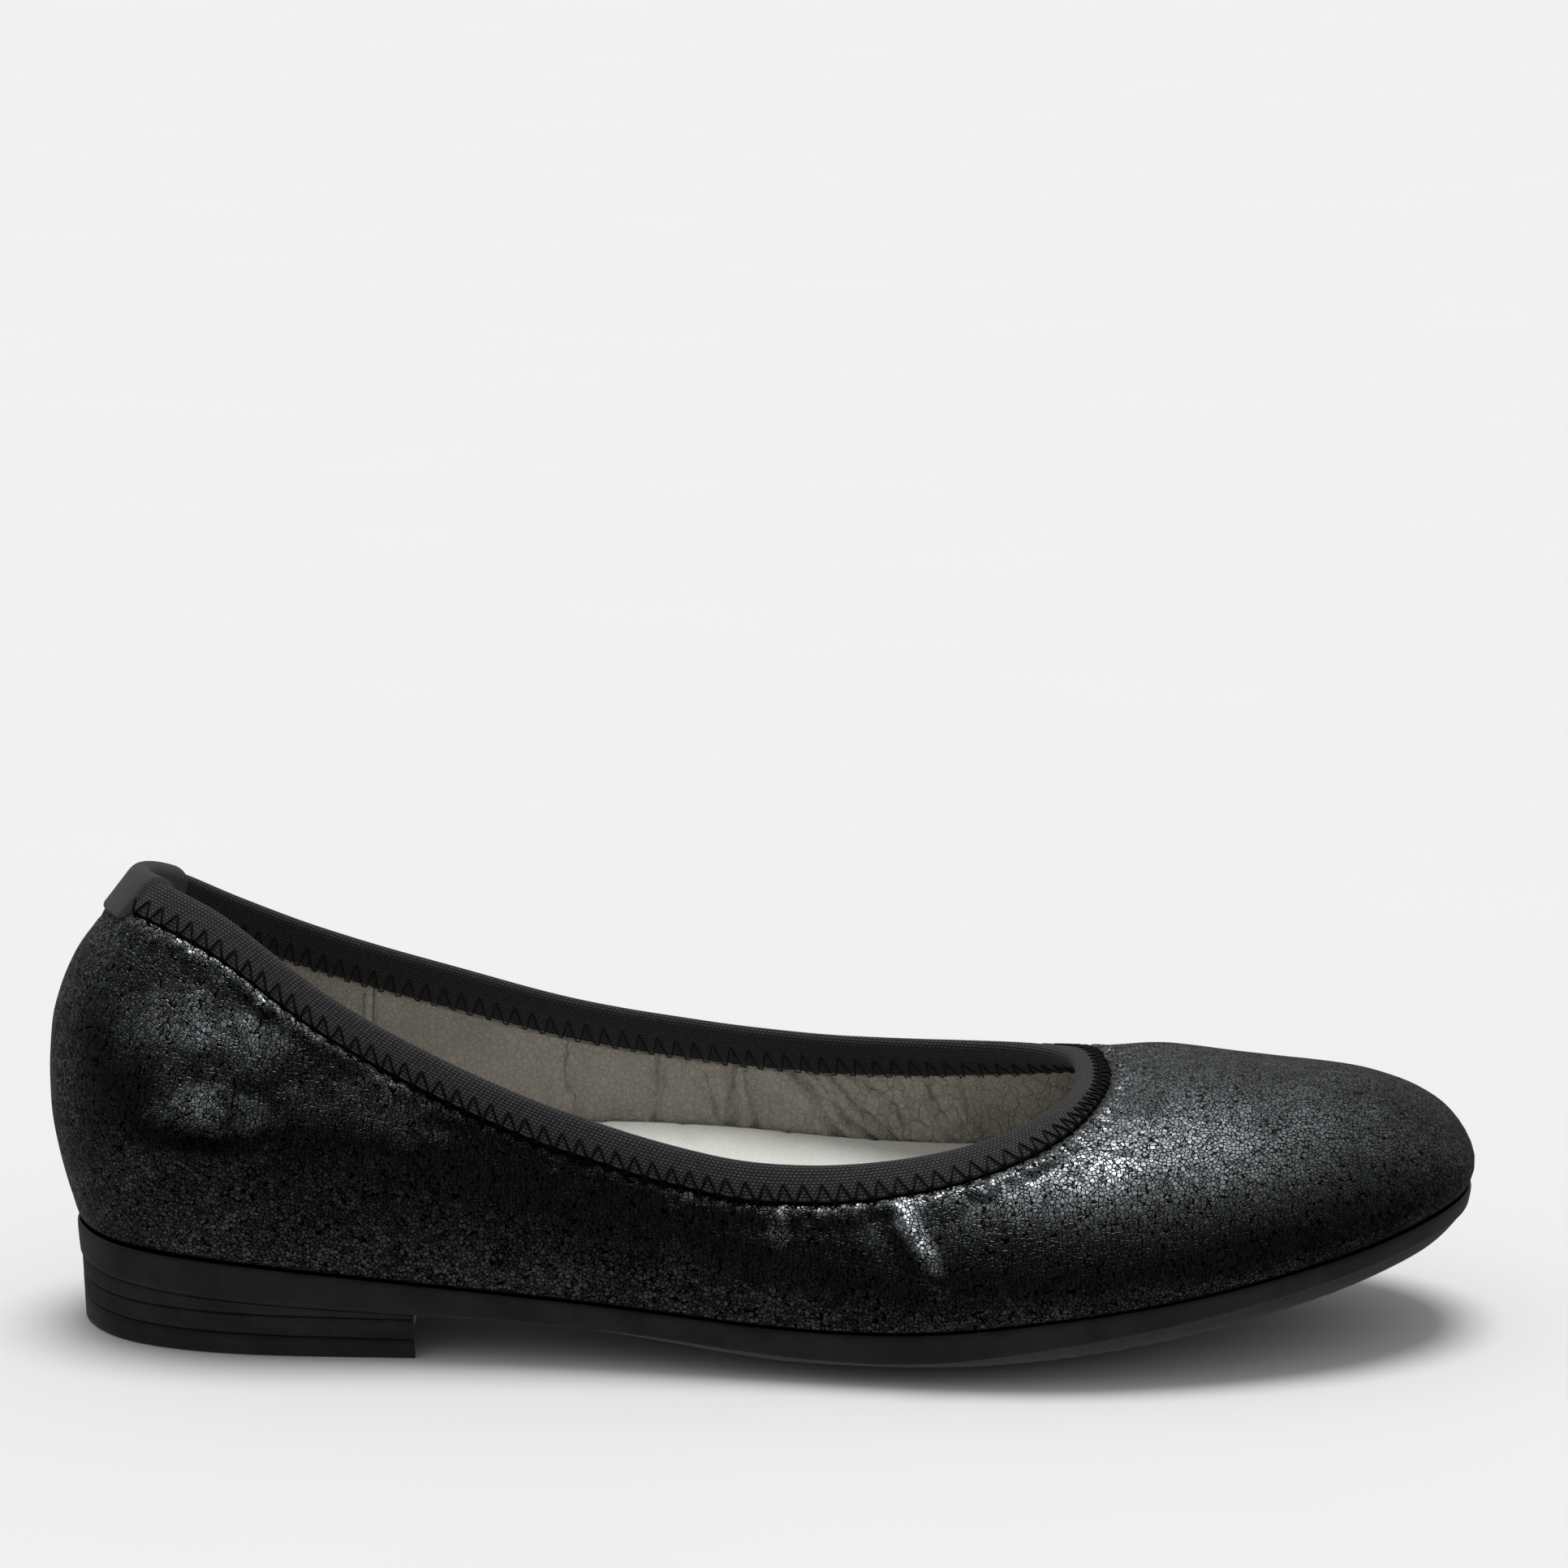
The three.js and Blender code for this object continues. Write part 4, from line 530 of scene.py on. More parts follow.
def tape_piece():
    n = 840
    s = np.arange(n) * ARC / n
    u = u_of(s)
    k = len(TAPE)
    U = u[:, None] + np.zeros((1, k))
    L = np.broadcast_to(TAPE[None, :, 0], U.shape).copy()
    D = np.broadcast_to(TAPE[None, :, 1], U.shape).copy()
    zc = zig_of(U)
    out_side = D < 0.1
    idx = np.arange(k)[None, :] + 0 * U
    peak = int(np.argmin(TAPE[:, 0]))
    low_in = int(np.argmax(np.where(np.arange(k) > peak, TAPE[:, 1], -9)))
    in_side = (idx > peak + 3) & (idx <= low_in)
    # the stitches press the tape down along the lower half and leave it full between them
    press = np.exp(-((L - 7.0) / 1.1) ** 2) * (0.16 * np.cos(2 * np.pi * zc) + 0.05) + np.exp(-((L - 3.4) / 0.7) ** 2) * 0.07 * np.cos(2 * np.pi * (zc + 0.5))
    D = D + np.where(out_side, press, 0) - np.where(in_side, press, 0)
    L = L * tape_width(U)
    wob = noise(np.stack([s[:, None] + 0 * U, 0 * U, 0 * U], -1), 9, 31)
    L = L + np.where(L > 6.0 * tape_width(U), 0.12 * wob + 0.07 * np.cos(2 * np.pi * zc), 0.04 * wob)
    sec = from_fold(U, L, D)
    per = np.concatenate([[0], np.cumsum(np.linalg.norm(np.diff(TAPE, axis=0), axis=1))])
    # distances along the tape for the weave; a pattern length that closes on itself
    uv = np.stack([s[:, None] + 0 * U, np.broadcast_to(per[None, :], U.shape)], -1)
    return ring_sweep("tape_binding", sec, True, uv)


# ---- ribbed tab over the centre back ---------------------------------------------------------------
def tab_piece():
    prof = smooth_profile([(9.4, -1.02), (5.0, -1.12), (1.6, -1.02), (0.2, -0.72), (-0.55, -0.1), (-0.78, 0.9), (-0.6, 1.9), (0.2, 2.75), (1.6, 3.2), (3.2, 3.72), (5.2, 4.6), (7.0, 5.42), (10.2, 5.2),
                           (10.2, 4.5), (7.0, 4.78), (5.1, 4.0), (3.3, 3.15), (1.8, 2.6), (0.7, 2.25), (0.05, 1.7), (-0.12, 0.95), (0.05, 0.2), (0.6, -0.25), (1.5, -0.44), (5.0, -0.50), (9.4, -0.36)], 0.40)
    half = 11.0
    s = np.linspace(-half, half, 209)
    fine = np.linspace(-2.9, 2.9, 581)
    k = len(prof)
    U = np.empty((len(s), k))
    for j, (l, d) in enumerate(prof):
        q = from_fold(fine, l, d)
        a = np.concatenate([[0], np.cumsum(np.linalg.norm(np.diff(q, axis=0), axis=1))])
        a -= np.interp(0, fine, a)
        U[:, j] = np.interp(s, a, fine)
    U = U[:, :]
    L = np.broadcast_to(prof[None, :, 0], U.shape).copy()
    D = np.broadcast_to(prof[None, :, 1], U.shape).copy()
    rib = 0.085 * np.abs(np.sin(np.pi * (s / 0.93)))[:, None] ** 0.7
    edge = smooth(0, 0.6, half - np.abs(s))[:, None]
    # outward side of the profile gets the ribs: move along the profile's own outward direction
    t = unit(np.roll(prof, -1, 0) - np.roll(prof, 1, 0))
    nrm = np.stack([-t[:, 1], t[:, 0]], -1)
    centre = prof.mean(0)
    outside = np.arange(k) < int(np.argmin(np.abs(prof - np.array([10.2, 4.5])).sum(1)))
    sgn = np.sign(((prof - centre) * nrm).sum(1))
    nrm = nrm * sgn[:, None]
    L += rib * np.where(outside, nrm[:, 0], 0)[None, :] * 1.0
    D += rib * np.where(outside, nrm[:, 1], 0)[None, :] * 1.0
    D = D + np.where(outside & (prof[:, 1] < 0.2), 0.22, 0)[None, :] * (1 - edge) - np.where(outside & (prof[:, 1] > 4.4), 0.22, 0)[None, :] * (1 - edge)
    sec = from_fold(U, L, D)
    per = np.concatenate([[0], np.cumsum(np.linalg.norm(np.diff(prof, axis=0), axis=1))])
    uv = np.stack([s[:, None] + 0 * U, np.broadcast_to(per[None, :], U.shape)], -1)
    return ring_sweep("heel_tape_tab", sec, False, uv)


# ---- stitching ------------------------------------------------------------------------------------------
def stitch_piece():
    legs = 2 * ZIGS
    tt = np.array([0.0, 0.07, 0.2, 0.42, 0.64, 0.83, 0.94])
    u, l, d, di = [], [], [], []
    rs = np.random.RandomState(11)
    jit = rs.rand(legs + 1) * 2 - 1
    jit[-1] = jit[0]
    down = np.array([0.08, -0.42, -0.56, -0.60, -0.58, -0.42, -0.10])
    ends = lambda k: (3.7 + 0.10 * jit[k]) if k % 2 == 0 else (7.75 + 0.18 * jit[k])
    holes = lambda k: 0.08 if k % 2 == 0 else 0.34
    for k in range(legs):
        z = (k + tt + 0.10 * mix(jit[k], jit[k + 1], tt)) / 2
        u.append(u_of_zig(z))
        l.append(mix(ends(k), ends(k + 1 if k + 1 < legs else 0), tt))
        prof = down if k % 2 == 0 else np.concatenate([[holes(k)], down[1:][::-1]])
        q = np.interp(tt, [0, 0.07, 0.2, 0.5, 0.8, 0.93, 1.0], [holes(k), -0.40 if k % 2 == 0 else -0.02, -0.58, -0.60, -0.58, -0.02 if k % 2 == 0 else -0.40, holes(k + 1)])
        d.append(q)
    u, l, d = np.concatenate(u), np.concatenate(l), np.concatenate(d)
    s = np.mod(arc_of(u) + ARC / 2, ARC) - ARC / 2
    tab = (1 - smooth(10.7, 12.0, np.abs(s)))
    w = tape_width(u)
    l2 = l * w
    outside = from_fold(u, l2, d - 0.05 * tab)               # the tab is folded over the seam
    peak = int(np.argmin(TAPE[:, 0]))
    low_in = int(np.argmax(TAPE[:, 1]))
    face = np.interp(l, TAPE[peak:low_in + 1, 0], TAPE[peak:low_in + 1, 1])
    face = np.where(l > 6.85, mix(4.62, LINING_IN, smooth(6.9, 7.5, l)), face)
    inside = from_fold(u, np.where(l > 6, l + 0.3, l) * w, face - 0.62 * d - 0.22 + 0.10 * tab)
    _, _, n = tangents(u, 1 - np.minimum(l, 12) / girth(u))
    a = tube_sections(outside, 0.20, 6, n, closed=True)
    b = tube_sections(inside, 0.12, 5, n, closed=True)
    return a, b


def joined_rings(name, groups, closed):
    verts, faces, caps, base = [], [], [], 0
    for sec in groups:
        n, k = sec.shape[:2]
        i, j = np.meshgrid(np.arange(n if closed else n - 1), np.arange(k), indexing="ij")
        i2, j2 = (i + 1) % n, (j + 1) % k
        q = base + np.stack([i * k + j, i2 * k + j, i2 * k + j2, i * k + j2], -1).reshape(-1, 4)
        faces.append(q)
        verts.append(sec.reshape(-1, 3))
        base += n * k
        if not closed:
            verts.append(np.stack([sec[0].mean(0), sec[-1].mean(0)]))
            for j in range(k):
                caps.append([base, base - n * k + j, base - n * k + (j + 1) % k])
                caps.append([base + 1, base - k + (j + 1) % k, base - k + j])
            base += 2
    return build(name, np.concatenate(verts), np.concatenate(faces), extra=caps)


def seam_path(u0, offset, l0, l1, depth, out, pitch=2.6):
    """A row of lockstitches that dips into the leather at every hole."""
    count = max(3, int(round((l1 - l0) / pitch)))
    t = np.linspace(0, 1, count * 8 + 1)
    l = mix(l0, l1, t)
    du, _, _ = tangents(np.array(u0), np.array(0.5))
    dip = np.abs(np.sin(np.pi * t * count)) ** 0.45
    d = depth + out * (dip * 0.42 - 0.26)
    p = from_fold(u0 + 0 * l, l, d) + du * offset
    _, _, n = tangents(u0 + 0 * l, 1 - l / girth(u0))
    return tube_sections(p, 0.19, 6, n)


# ---- bottom ------------------------------------------------------------------------------------------------
def heel_plane(x):
    return HEEL_PLANE[0] + HEEL_PLANE[1] * x


def outsole_bottom(u, r, x):
    ahead = smooth(HEEL_BREAST_X, HEEL_BREAST_X + 14, x)
    mid = np.maximum(0, keel(mid_x(u)))
    rim = feather(u)[..., 2] - rand_at(u)
    front = mix(mid, rim, np.maximum(0, (r - 0.5) / 0.5) ** 2.1)
    return mix(heel_plane(x), front, ahead)


def ringed(name, stations, rings, weld=True, uv=False):
    """rings: list of (r, rim(u) -> points, height(u, r, x, y)) from the middle of the top over the rim to the middle of the bottom."""
    u = np.arange(stations) * NS / stations
    cx, cy, f = mid_x(u), mid_y(u), feather(u)
    cols, known = [], {}
    for r, rim, height in rings:
        if rim not in known:
            known[rim] = rim(u)
        e = known[rim]
        scale = np.hypot(e[:, 0] - cx, e[:, 1] - cy) / np.hypot(f[:, 0] - cx, f[:, 1] - cy)
        x, y = mix(cx, e[:, 0], r), mix(cy, e[:, 1], r)
        if r == 0:
            x, y = cx, cy
        cols.append(np.stack([x, y, height(u, r * scale, x, y)], -1))
    g = np.stack(cols, 1)
    for k in (0, -1):
        if rings[k][0] == 0:
            g[:, k] = 0.5 * (g[:, k] + g[(-np.arange(stations)) % stations, k])
    return build(name, g.reshape(-1, 3), grid_faces(stations, len(rings), wrap=True), weld=weld)


def offset_rim(d):
    return lambda u: feather(u) + outward(u) * np.asarray(d)[..., None] if np.ndim(d) else feather(u) + outward(u) * d


def outsole_piece():
    top = lambda drop: (lambda u, r, x, y: seat_z(u, np.minimum(1, r)) - drop)
    rings = [(0, offset_rim(0.7), top(2.3)), (0.25, offset_rim(0.7), top(2.3)), (0.5, offset_rim(0.7), top(2.3)), (0.765, offset_rim(0.7), top(2.3)),
             (0.785, offset_rim(0.7), top(2.2)), (0.80, offset_rim(0.7), top(0.05)), (0.9, offset_rim(0.7), top(0)),
             (1, offset_rim(0.16), top(0))]
    z = lambda dz: (lambda u, r, x, y: feather(u)[..., 2] + dz)
    rings += [(1, offset_rim(0.26), z(0.24)), (1, offset_rim(0.42), z(0.34)), (1, offset_rim(0.60), z(0.30)), (1, offset_rim(0.74), z(0.08))]

    def wall(t):
        def h(u, r, x, y):
            zb = outsole_bottom(u, np.ones_like(x), x)
            return mix(feather(u)[..., 2] - 0.25, zb + 0.45, t)
        return h
    for t in np.linspace(0, 1, 8):
        rings.append((1, offset_rim(mix(0.80, 0.42, t ** 1.5)), wall(t)))
    zb = lambda dz: (lambda u, r, x, y: outsole_bottom(u, np.minimum(r, 1), x) + dz)
    rings += [(1, offset_rim(0.30), zb(0.16)), (1, offset_rim(0.10), zb(0.02)), (1, offset_rim(-0.25), zb(0.0))]

    def under(u, r, x, y):
        base = outsole_bottom(u, np.minimum(r, 1), x)
        # fine transverse tread under the ball and in the waist, with a plain border
        field = smooth(88, 96, x) * (1 - smooth(0.74, 0.80, r)) * (1 - smooth(222, 232, x))
        groove = smooth(0.55, 0.85, np.abs(np.mod(x / 4.2 + 0.35 * np.cos(r * 5.0), 1.0) - 0.5) * 2)
        return base + field * 0.5 * groove
    for r in np.linspace(0.97, 0.0, 34):
        rings.append((float(r), offset_rim(0.1), under))
    rings[-1] = (0, offset_rim(0.1), under)
    return ringed("outsole_rubber", 648, rings)


def heel_piece(name, top_plane, bottom_plane, gap, bevel_top, bevel_bottom):
    us = np.linspace(-6.1, 6.15, 200)
    p = feather(us) + outward(us) * 0.1
    keep = p[:, 0] < HEEL_BREAST_X
    p = p[keep][:, :2]
    a, b = p[0], p[-1]
    front = [(HEEL_BREAST_X, b[1]), (HEEL_BREAST_X - 1.2, mix(b[1], a[1], 0.14)), (HEEL_BREAST_X - 2.0, mix(b[1], a[1], 0.32)), (HEEL_BREAST_X - 2.3, (a[1] + b[1]) / 2),
             (HEEL_BREAST_X - 2.0, mix(b[1], a[1], 0.68)), (HEEL_BREAST_X - 1.2, mix(b[1], a[1], 0.86)), (HEEL_BREAST_X, a[1])]
    line = np.concatenate([p, np.array(front)])
    mid = np.array([34.0, 0.0])
    zt = lambda x: top_plane[0] + top_plane[1] * x - gap
    zb = lambda x: (bottom_plane[0] + bottom_plane[1] * x) if bottom_plane else 0 * x
    rows = []

    def level(t, inset, dz):
        q = line - unit(line - mid) * inset
        h = mix(zb(q[:, 0]), zt(q[:, 0]), t)
        drop = HEEL_PLANE[0] - h
        x = q[:, 0] + np.where(q[:, 0] < 34, 0.03 * drop * (34 - q[:, 0]) / 34, 0)
        y = q[:, 1] - 0.17 * drop * q[:, 1] / 28
        rows.append(np.stack([x, y, mix(zb(x), zt(x), t) + dz], -1))
    level(0, 2.2, 0)
    level(0, bevel_bottom, 0)
    level(0, bevel_bottom * 0.35, bevel_bottom * 0.35)
    level(0, 0, bevel_bottom)
    for t in (0.35, 0.65):
        level(t, 0.0, 0)
    level(1, 0, -bevel_top)
    level(1, bevel_top * 0.35, -bevel_top * 0.35)
    level(1, bevel_top, 0)
    level(1, 2.2, 0)
    g = np.stack(rows, 1)
    n, k = g.shape[:2]
    caps = [[i * k for i in range(n)], [i * k + k - 1 for i in range(n)][::-1]]
    return build(name, g.reshape(-1, 3), grid_faces(n, k, wrap=True), sharp=40, extra=caps)


def in_plan(h0, clear):
    def rim(u):
        x = feather(u)[:, 0]
        return inside_wall(u, h0 * (1 - 0.25 * smooth(185, 240, x)), clear + 1.3 * smooth(200, 240, x))
    return rim


def footbed_at(x):
    return FOOTBED * (1 - 0.5 * smooth(150, 215, x))


def cup(u, r):
    k = np.minimum(np.mod(u, NS), NS - np.mod(u, NS))
    side = np.where(u > 18, SOCK_CUP_MEDIAL, SOCK_CUP_LATERAL)
    return mix(1.6, side, smooth(0, 6, k)) * (1 - 0.6 * smooth(12, 17, k)) * np.maximum(0, (r - 0.6) / 0.4) ** 2


def footbed_piece():
    rim = in_plan(3.6, 0.9)
    z0 = 2.6
    lower = lambda dz: (lambda u, r, x, y: seat_z(u, r) + z0 + dz + 0.1)
    upper = lambda dz: (lambda u, r, x, y: seat_z(u, r) + z0 + footbed_at(x) + dz - 0.05)
    rings = [(float(r), rim, upper(0.0)) for r in np.linspace(0, 0.93, 12)]
    rings += [(0.97, rim, upper(-0.12)), (0.99, rim, upper(-0.4)), (1, rim, lambda u, r, x, y: seat_z(u, r) + z0 + 0.5 * footbed_at(x))]
    rings += [(0.99, rim, lower(0.35)), (0.97, rim, lower(0.08))] + [(float(r), rim, lower(0)) for r in np.linspace(0.9, 0, 8)]
    return ringed("footbed_foam", 240, rings)


def sock_piece():
    rim_top, rim_bottom = in_plan(8.3, 0.55), in_plan(7.1, 0.75)
    z = lambda x: 2.6 + footbed_at(x) + 0.3

    def top(dz):
        def h(u, r, x, y):
            p = np.stack([x, y, 0 * x], -1)
            k = smooth(0.0, 0.35, r)
            relief = 0.10 * noise(p, 16, 41) + 0.05 * noise(p, 7, 42)
            bow = x + 0.010 * (y - 2) ** 2 + 2.0 * noise(p, 20, 43)
            for x0, depth, width in ((96, 0.16, 0.6), (112, 0.22, 0.7), (123, 0.13, 0.5), (132, 0.18, 0.6), (141, 0.12, 0.5), (150, 0.2, 0.7)):
                relief = relief - 2.0 * depth * np.exp(-((bow - x0) / width) ** 2) * (0.6 + 0.4 * noise(p, 9, 44))
            relief = relief + 0.12 * np.sin(arc_of(u) * 2 * np.pi / 3.4) * np.maximum(0, r - 0.86) * 5 * (0.5 + 0.5 * noise(p, 10, 45))
            return seat_z(u, r) + z(x) + 1.2 + cup(u, r) + relief * k + dz
        return h

    def low(dz):
        return lambda u, r, x, y: seat_z(u, r) + z(x) + cup(u, r) + dz
    rings = [(float(r), rim_top, top(0)) for r in np.linspace(0, 0.985, 34)]
    rings += [(0.995, rim_top, top(-0.12)), (1, rim_top, top(-0.45)), (1, rim_bottom, low(0.25)), (0.99, rim_bottom, low(0.02))]
    rings += [(float(r), rim_bottom, low(0)) for r in np.linspace(0.93, 0, 12)]
    return ringed("sock_sheet", 480, rings)


made = {}


def put(piece, *nodes):
    made[piece.name] = piece
    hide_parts(*nodes)
    return piece


put(upper_piece("leather_vamp_lateral", 0.012, MEDIAL_SEAM_U - 0.012, 620), "upper_vamp_lateral")
put(upper_piece("leather_medial_quarter", MEDIAL_SEAM_U + 0.012, NS - 0.012, 210), "upper_medial_quarter")
put(lining_piece("lining_front", HEEL_LINING_U + 0.004, NS - HEEL_LINING_U - 0.004, 600), "vamp_lining")
put(lining_piece("lining_heel", -HEEL_LINING_U + 0.004, HEEL_LINING_U - 0.004, 180), "heel_lining")
put(tape_piece(), "topline_binding")
put(tab_piece(), "heel_tab")
put(joined_rings("zigzag_thread", list(stitch_piece()), True), "topline_zigzag_stitch")
put(joined_rings("seam_thread_medial", [seam_path(MEDIAL_SEAM_U, 1.6, 8.6, float(girth(MEDIAL_SEAM_U)) - 2.5, -0.2, -1)], False), "medial_seam_stitch")
put(joined_rings("lining_thread_lateral", [seam_path(HEEL_LINING_U, -1.6, 9.0, float(girth(HEEL_LINING_U)) - 14, LINING_IN + 0.22, 1)], False), "heel_lining_stitch_lateral")
put(joined_rings("lining_thread_medial", [seam_path(NS - HEEL_LINING_U, 1.6, 9.0, float(girth(NS - HEEL_LINING_U)) - 14, LINING_IN + 0.22, 1)], False), "heel_lining_stitch_medial")
put(outsole_piece(), "outsole")
put(heel_piece("heel_lift_top", HEEL_PLANE, LIFT_PLANE, 0.06, 0.35, 0.35), "heel_lift_upper")
put(heel_piece("heel_lift_bottom", LIFT_PLANE, TOP_PIECE_PLANE, 0.06, 0.35, 0.35), "heel_lift_lower")
put(heel_piece("heel_rubber", TOP_PIECE_PLANE, None, 0.06, 0.35, 0.3), "heel_top_piece")
put(footbed_piece(), "footbed_cushion")
put(sock_piece(), "sock")

# ==== materials ==============================================================================
class Nodes:
    """Small helper: nodes by short calls, inputs given as values or sockets."""

    def __init__(self, name):
        self.mat = bpy.data.materials.new(name)
        self.mat.use_nodes = True
        self.tree = self.mat.node_tree
        self.tree.nodes.clear()
        self.out = self.tree.nodes.new("ShaderNodeOutputMaterial")
        self.bsdf = self.tree.nodes.new("ShaderNodeBsdfPrincipled")
        self.tree.links.new(self.bsdf.outputs[0], self.out.inputs[0])
        self.tc = self.tree.nodes.new("ShaderNodeTexCoord")
        self.obj = self.tc.outputs["Object"]
        self.uv = self.tc.outputs["UV"]

    def set(self, socket, value):
        if isinstance(value, bpy.types.NodeSocket):
            self.tree.links.new(value, socket)
        else:
            socket.default_value = value

    def node(self, kind, inputs=None, **props):
        n = self.tree.nodes.new(kind)
        for k, v in props.items():
            setattr(n, k, v)
        for k, v in (inputs or {}).items():
            self.set(n.inputs[k], v)
        return n

    def math(self, op, a, b=0.0, c=0.0, clamp=False):
        n = self.node("ShaderNodeMath", {0: a, 1: b, 2: c}, operation=op, use_clamp=clamp)
        return n.outputs[0]

    def noise(self, scale, detail=2.0, rough=0.5, vec=None):
        return self.node("ShaderNodeTexNoise", {"Vector": vec or self.obj, "Scale": scale, "Detail": detail, "Roughness": rough}).outputs["Fac"]

    def range(self, x, a, b, c=0.0, d=1.0, kind="SMOOTHSTEP"):
        return self.node("ShaderNodeMapRange", {"Value": x, "From Min": a, "From Max": b, "To Min": c, "To Max": d}, interpolation_type=kind).outputs[0]

    def mixc(self, f, a, b, blend="MIX"):
        n = self.node("ShaderNodeMix", None, data_type="RGBA", blend_type=blend)
        for key, v in (("Factor", f), ("A", a), ("B", b)):
            s = [i for i in n.inputs if i.name == key and i.enabled][0]
            self.set(s, v)
        return [o for o in n.outputs if o.enabled][0]

    def mixf(self, f, a, b):
        n = self.node("ShaderNodeMix", None, data_type="FLOAT")
        for key, v in (("Factor", f), ("A", a), ("B", b)):
            s = [i for i in n.inputs if i.name == key and i.enabled][0]
            self.set(s, v)
        return [o for o in n.outputs if o.enabled][0]

    def mapping(self, vec, scale=(1, 1, 1), rot=(0, 0, 0)):
        return self.node("ShaderNodeMapping", {"Vector": vec, "Scale": scale, "Rotation": rot}).outputs[0]

    def warp(self, vec, scale, amount):
        n = self.node("ShaderNodeTexNoise", {"Vector": vec, "Scale": scale, "Detail": 1.0})
        c = self.node("ShaderNodeVectorMath", {0: n.outputs["Color"], 1: (0.5, 0.5, 0.5)}, operation="SUBTRACT").outputs[0]
        s = self.node("ShaderNodeVectorMath", {0: c, "Scale": amount}, operation="SCALE").outputs[0]
        return self.node("ShaderNodeVectorMath", {0: vec, 1: s}, operation="ADD").outputs[0]

    def voronoi(self, scale, feature="F1", vec=None, randomness=1.0):
        return self.node("ShaderNodeTexVoronoi", {"Vector": vec or self.obj, "Scale": scale, "Randomness": randomness}, feature=feature)

    def bump(self, height, distance, strength=1.0, normal=None):
        ins = {"Height": height, "Distance": distance, "Strength": strength}
        if normal is not None:
            ins["Normal"] = normal
        return self.node("ShaderNodeBump", ins).outputs[0]

    def finish(self, color, rough, normal=None, metallic=0.0, **plain):
        b = self.bsdf.inputs
        self.set(b["Base Color"], color)
        self.set(b["Roughness"], rough)
        self.set(b["Metallic"], metallic)
        if normal is not None:
            self.set(b["Normal"], normal)
        for k, v in plain.items():
            b[k.replace("_", " ")].default_value = v
        return self.mat


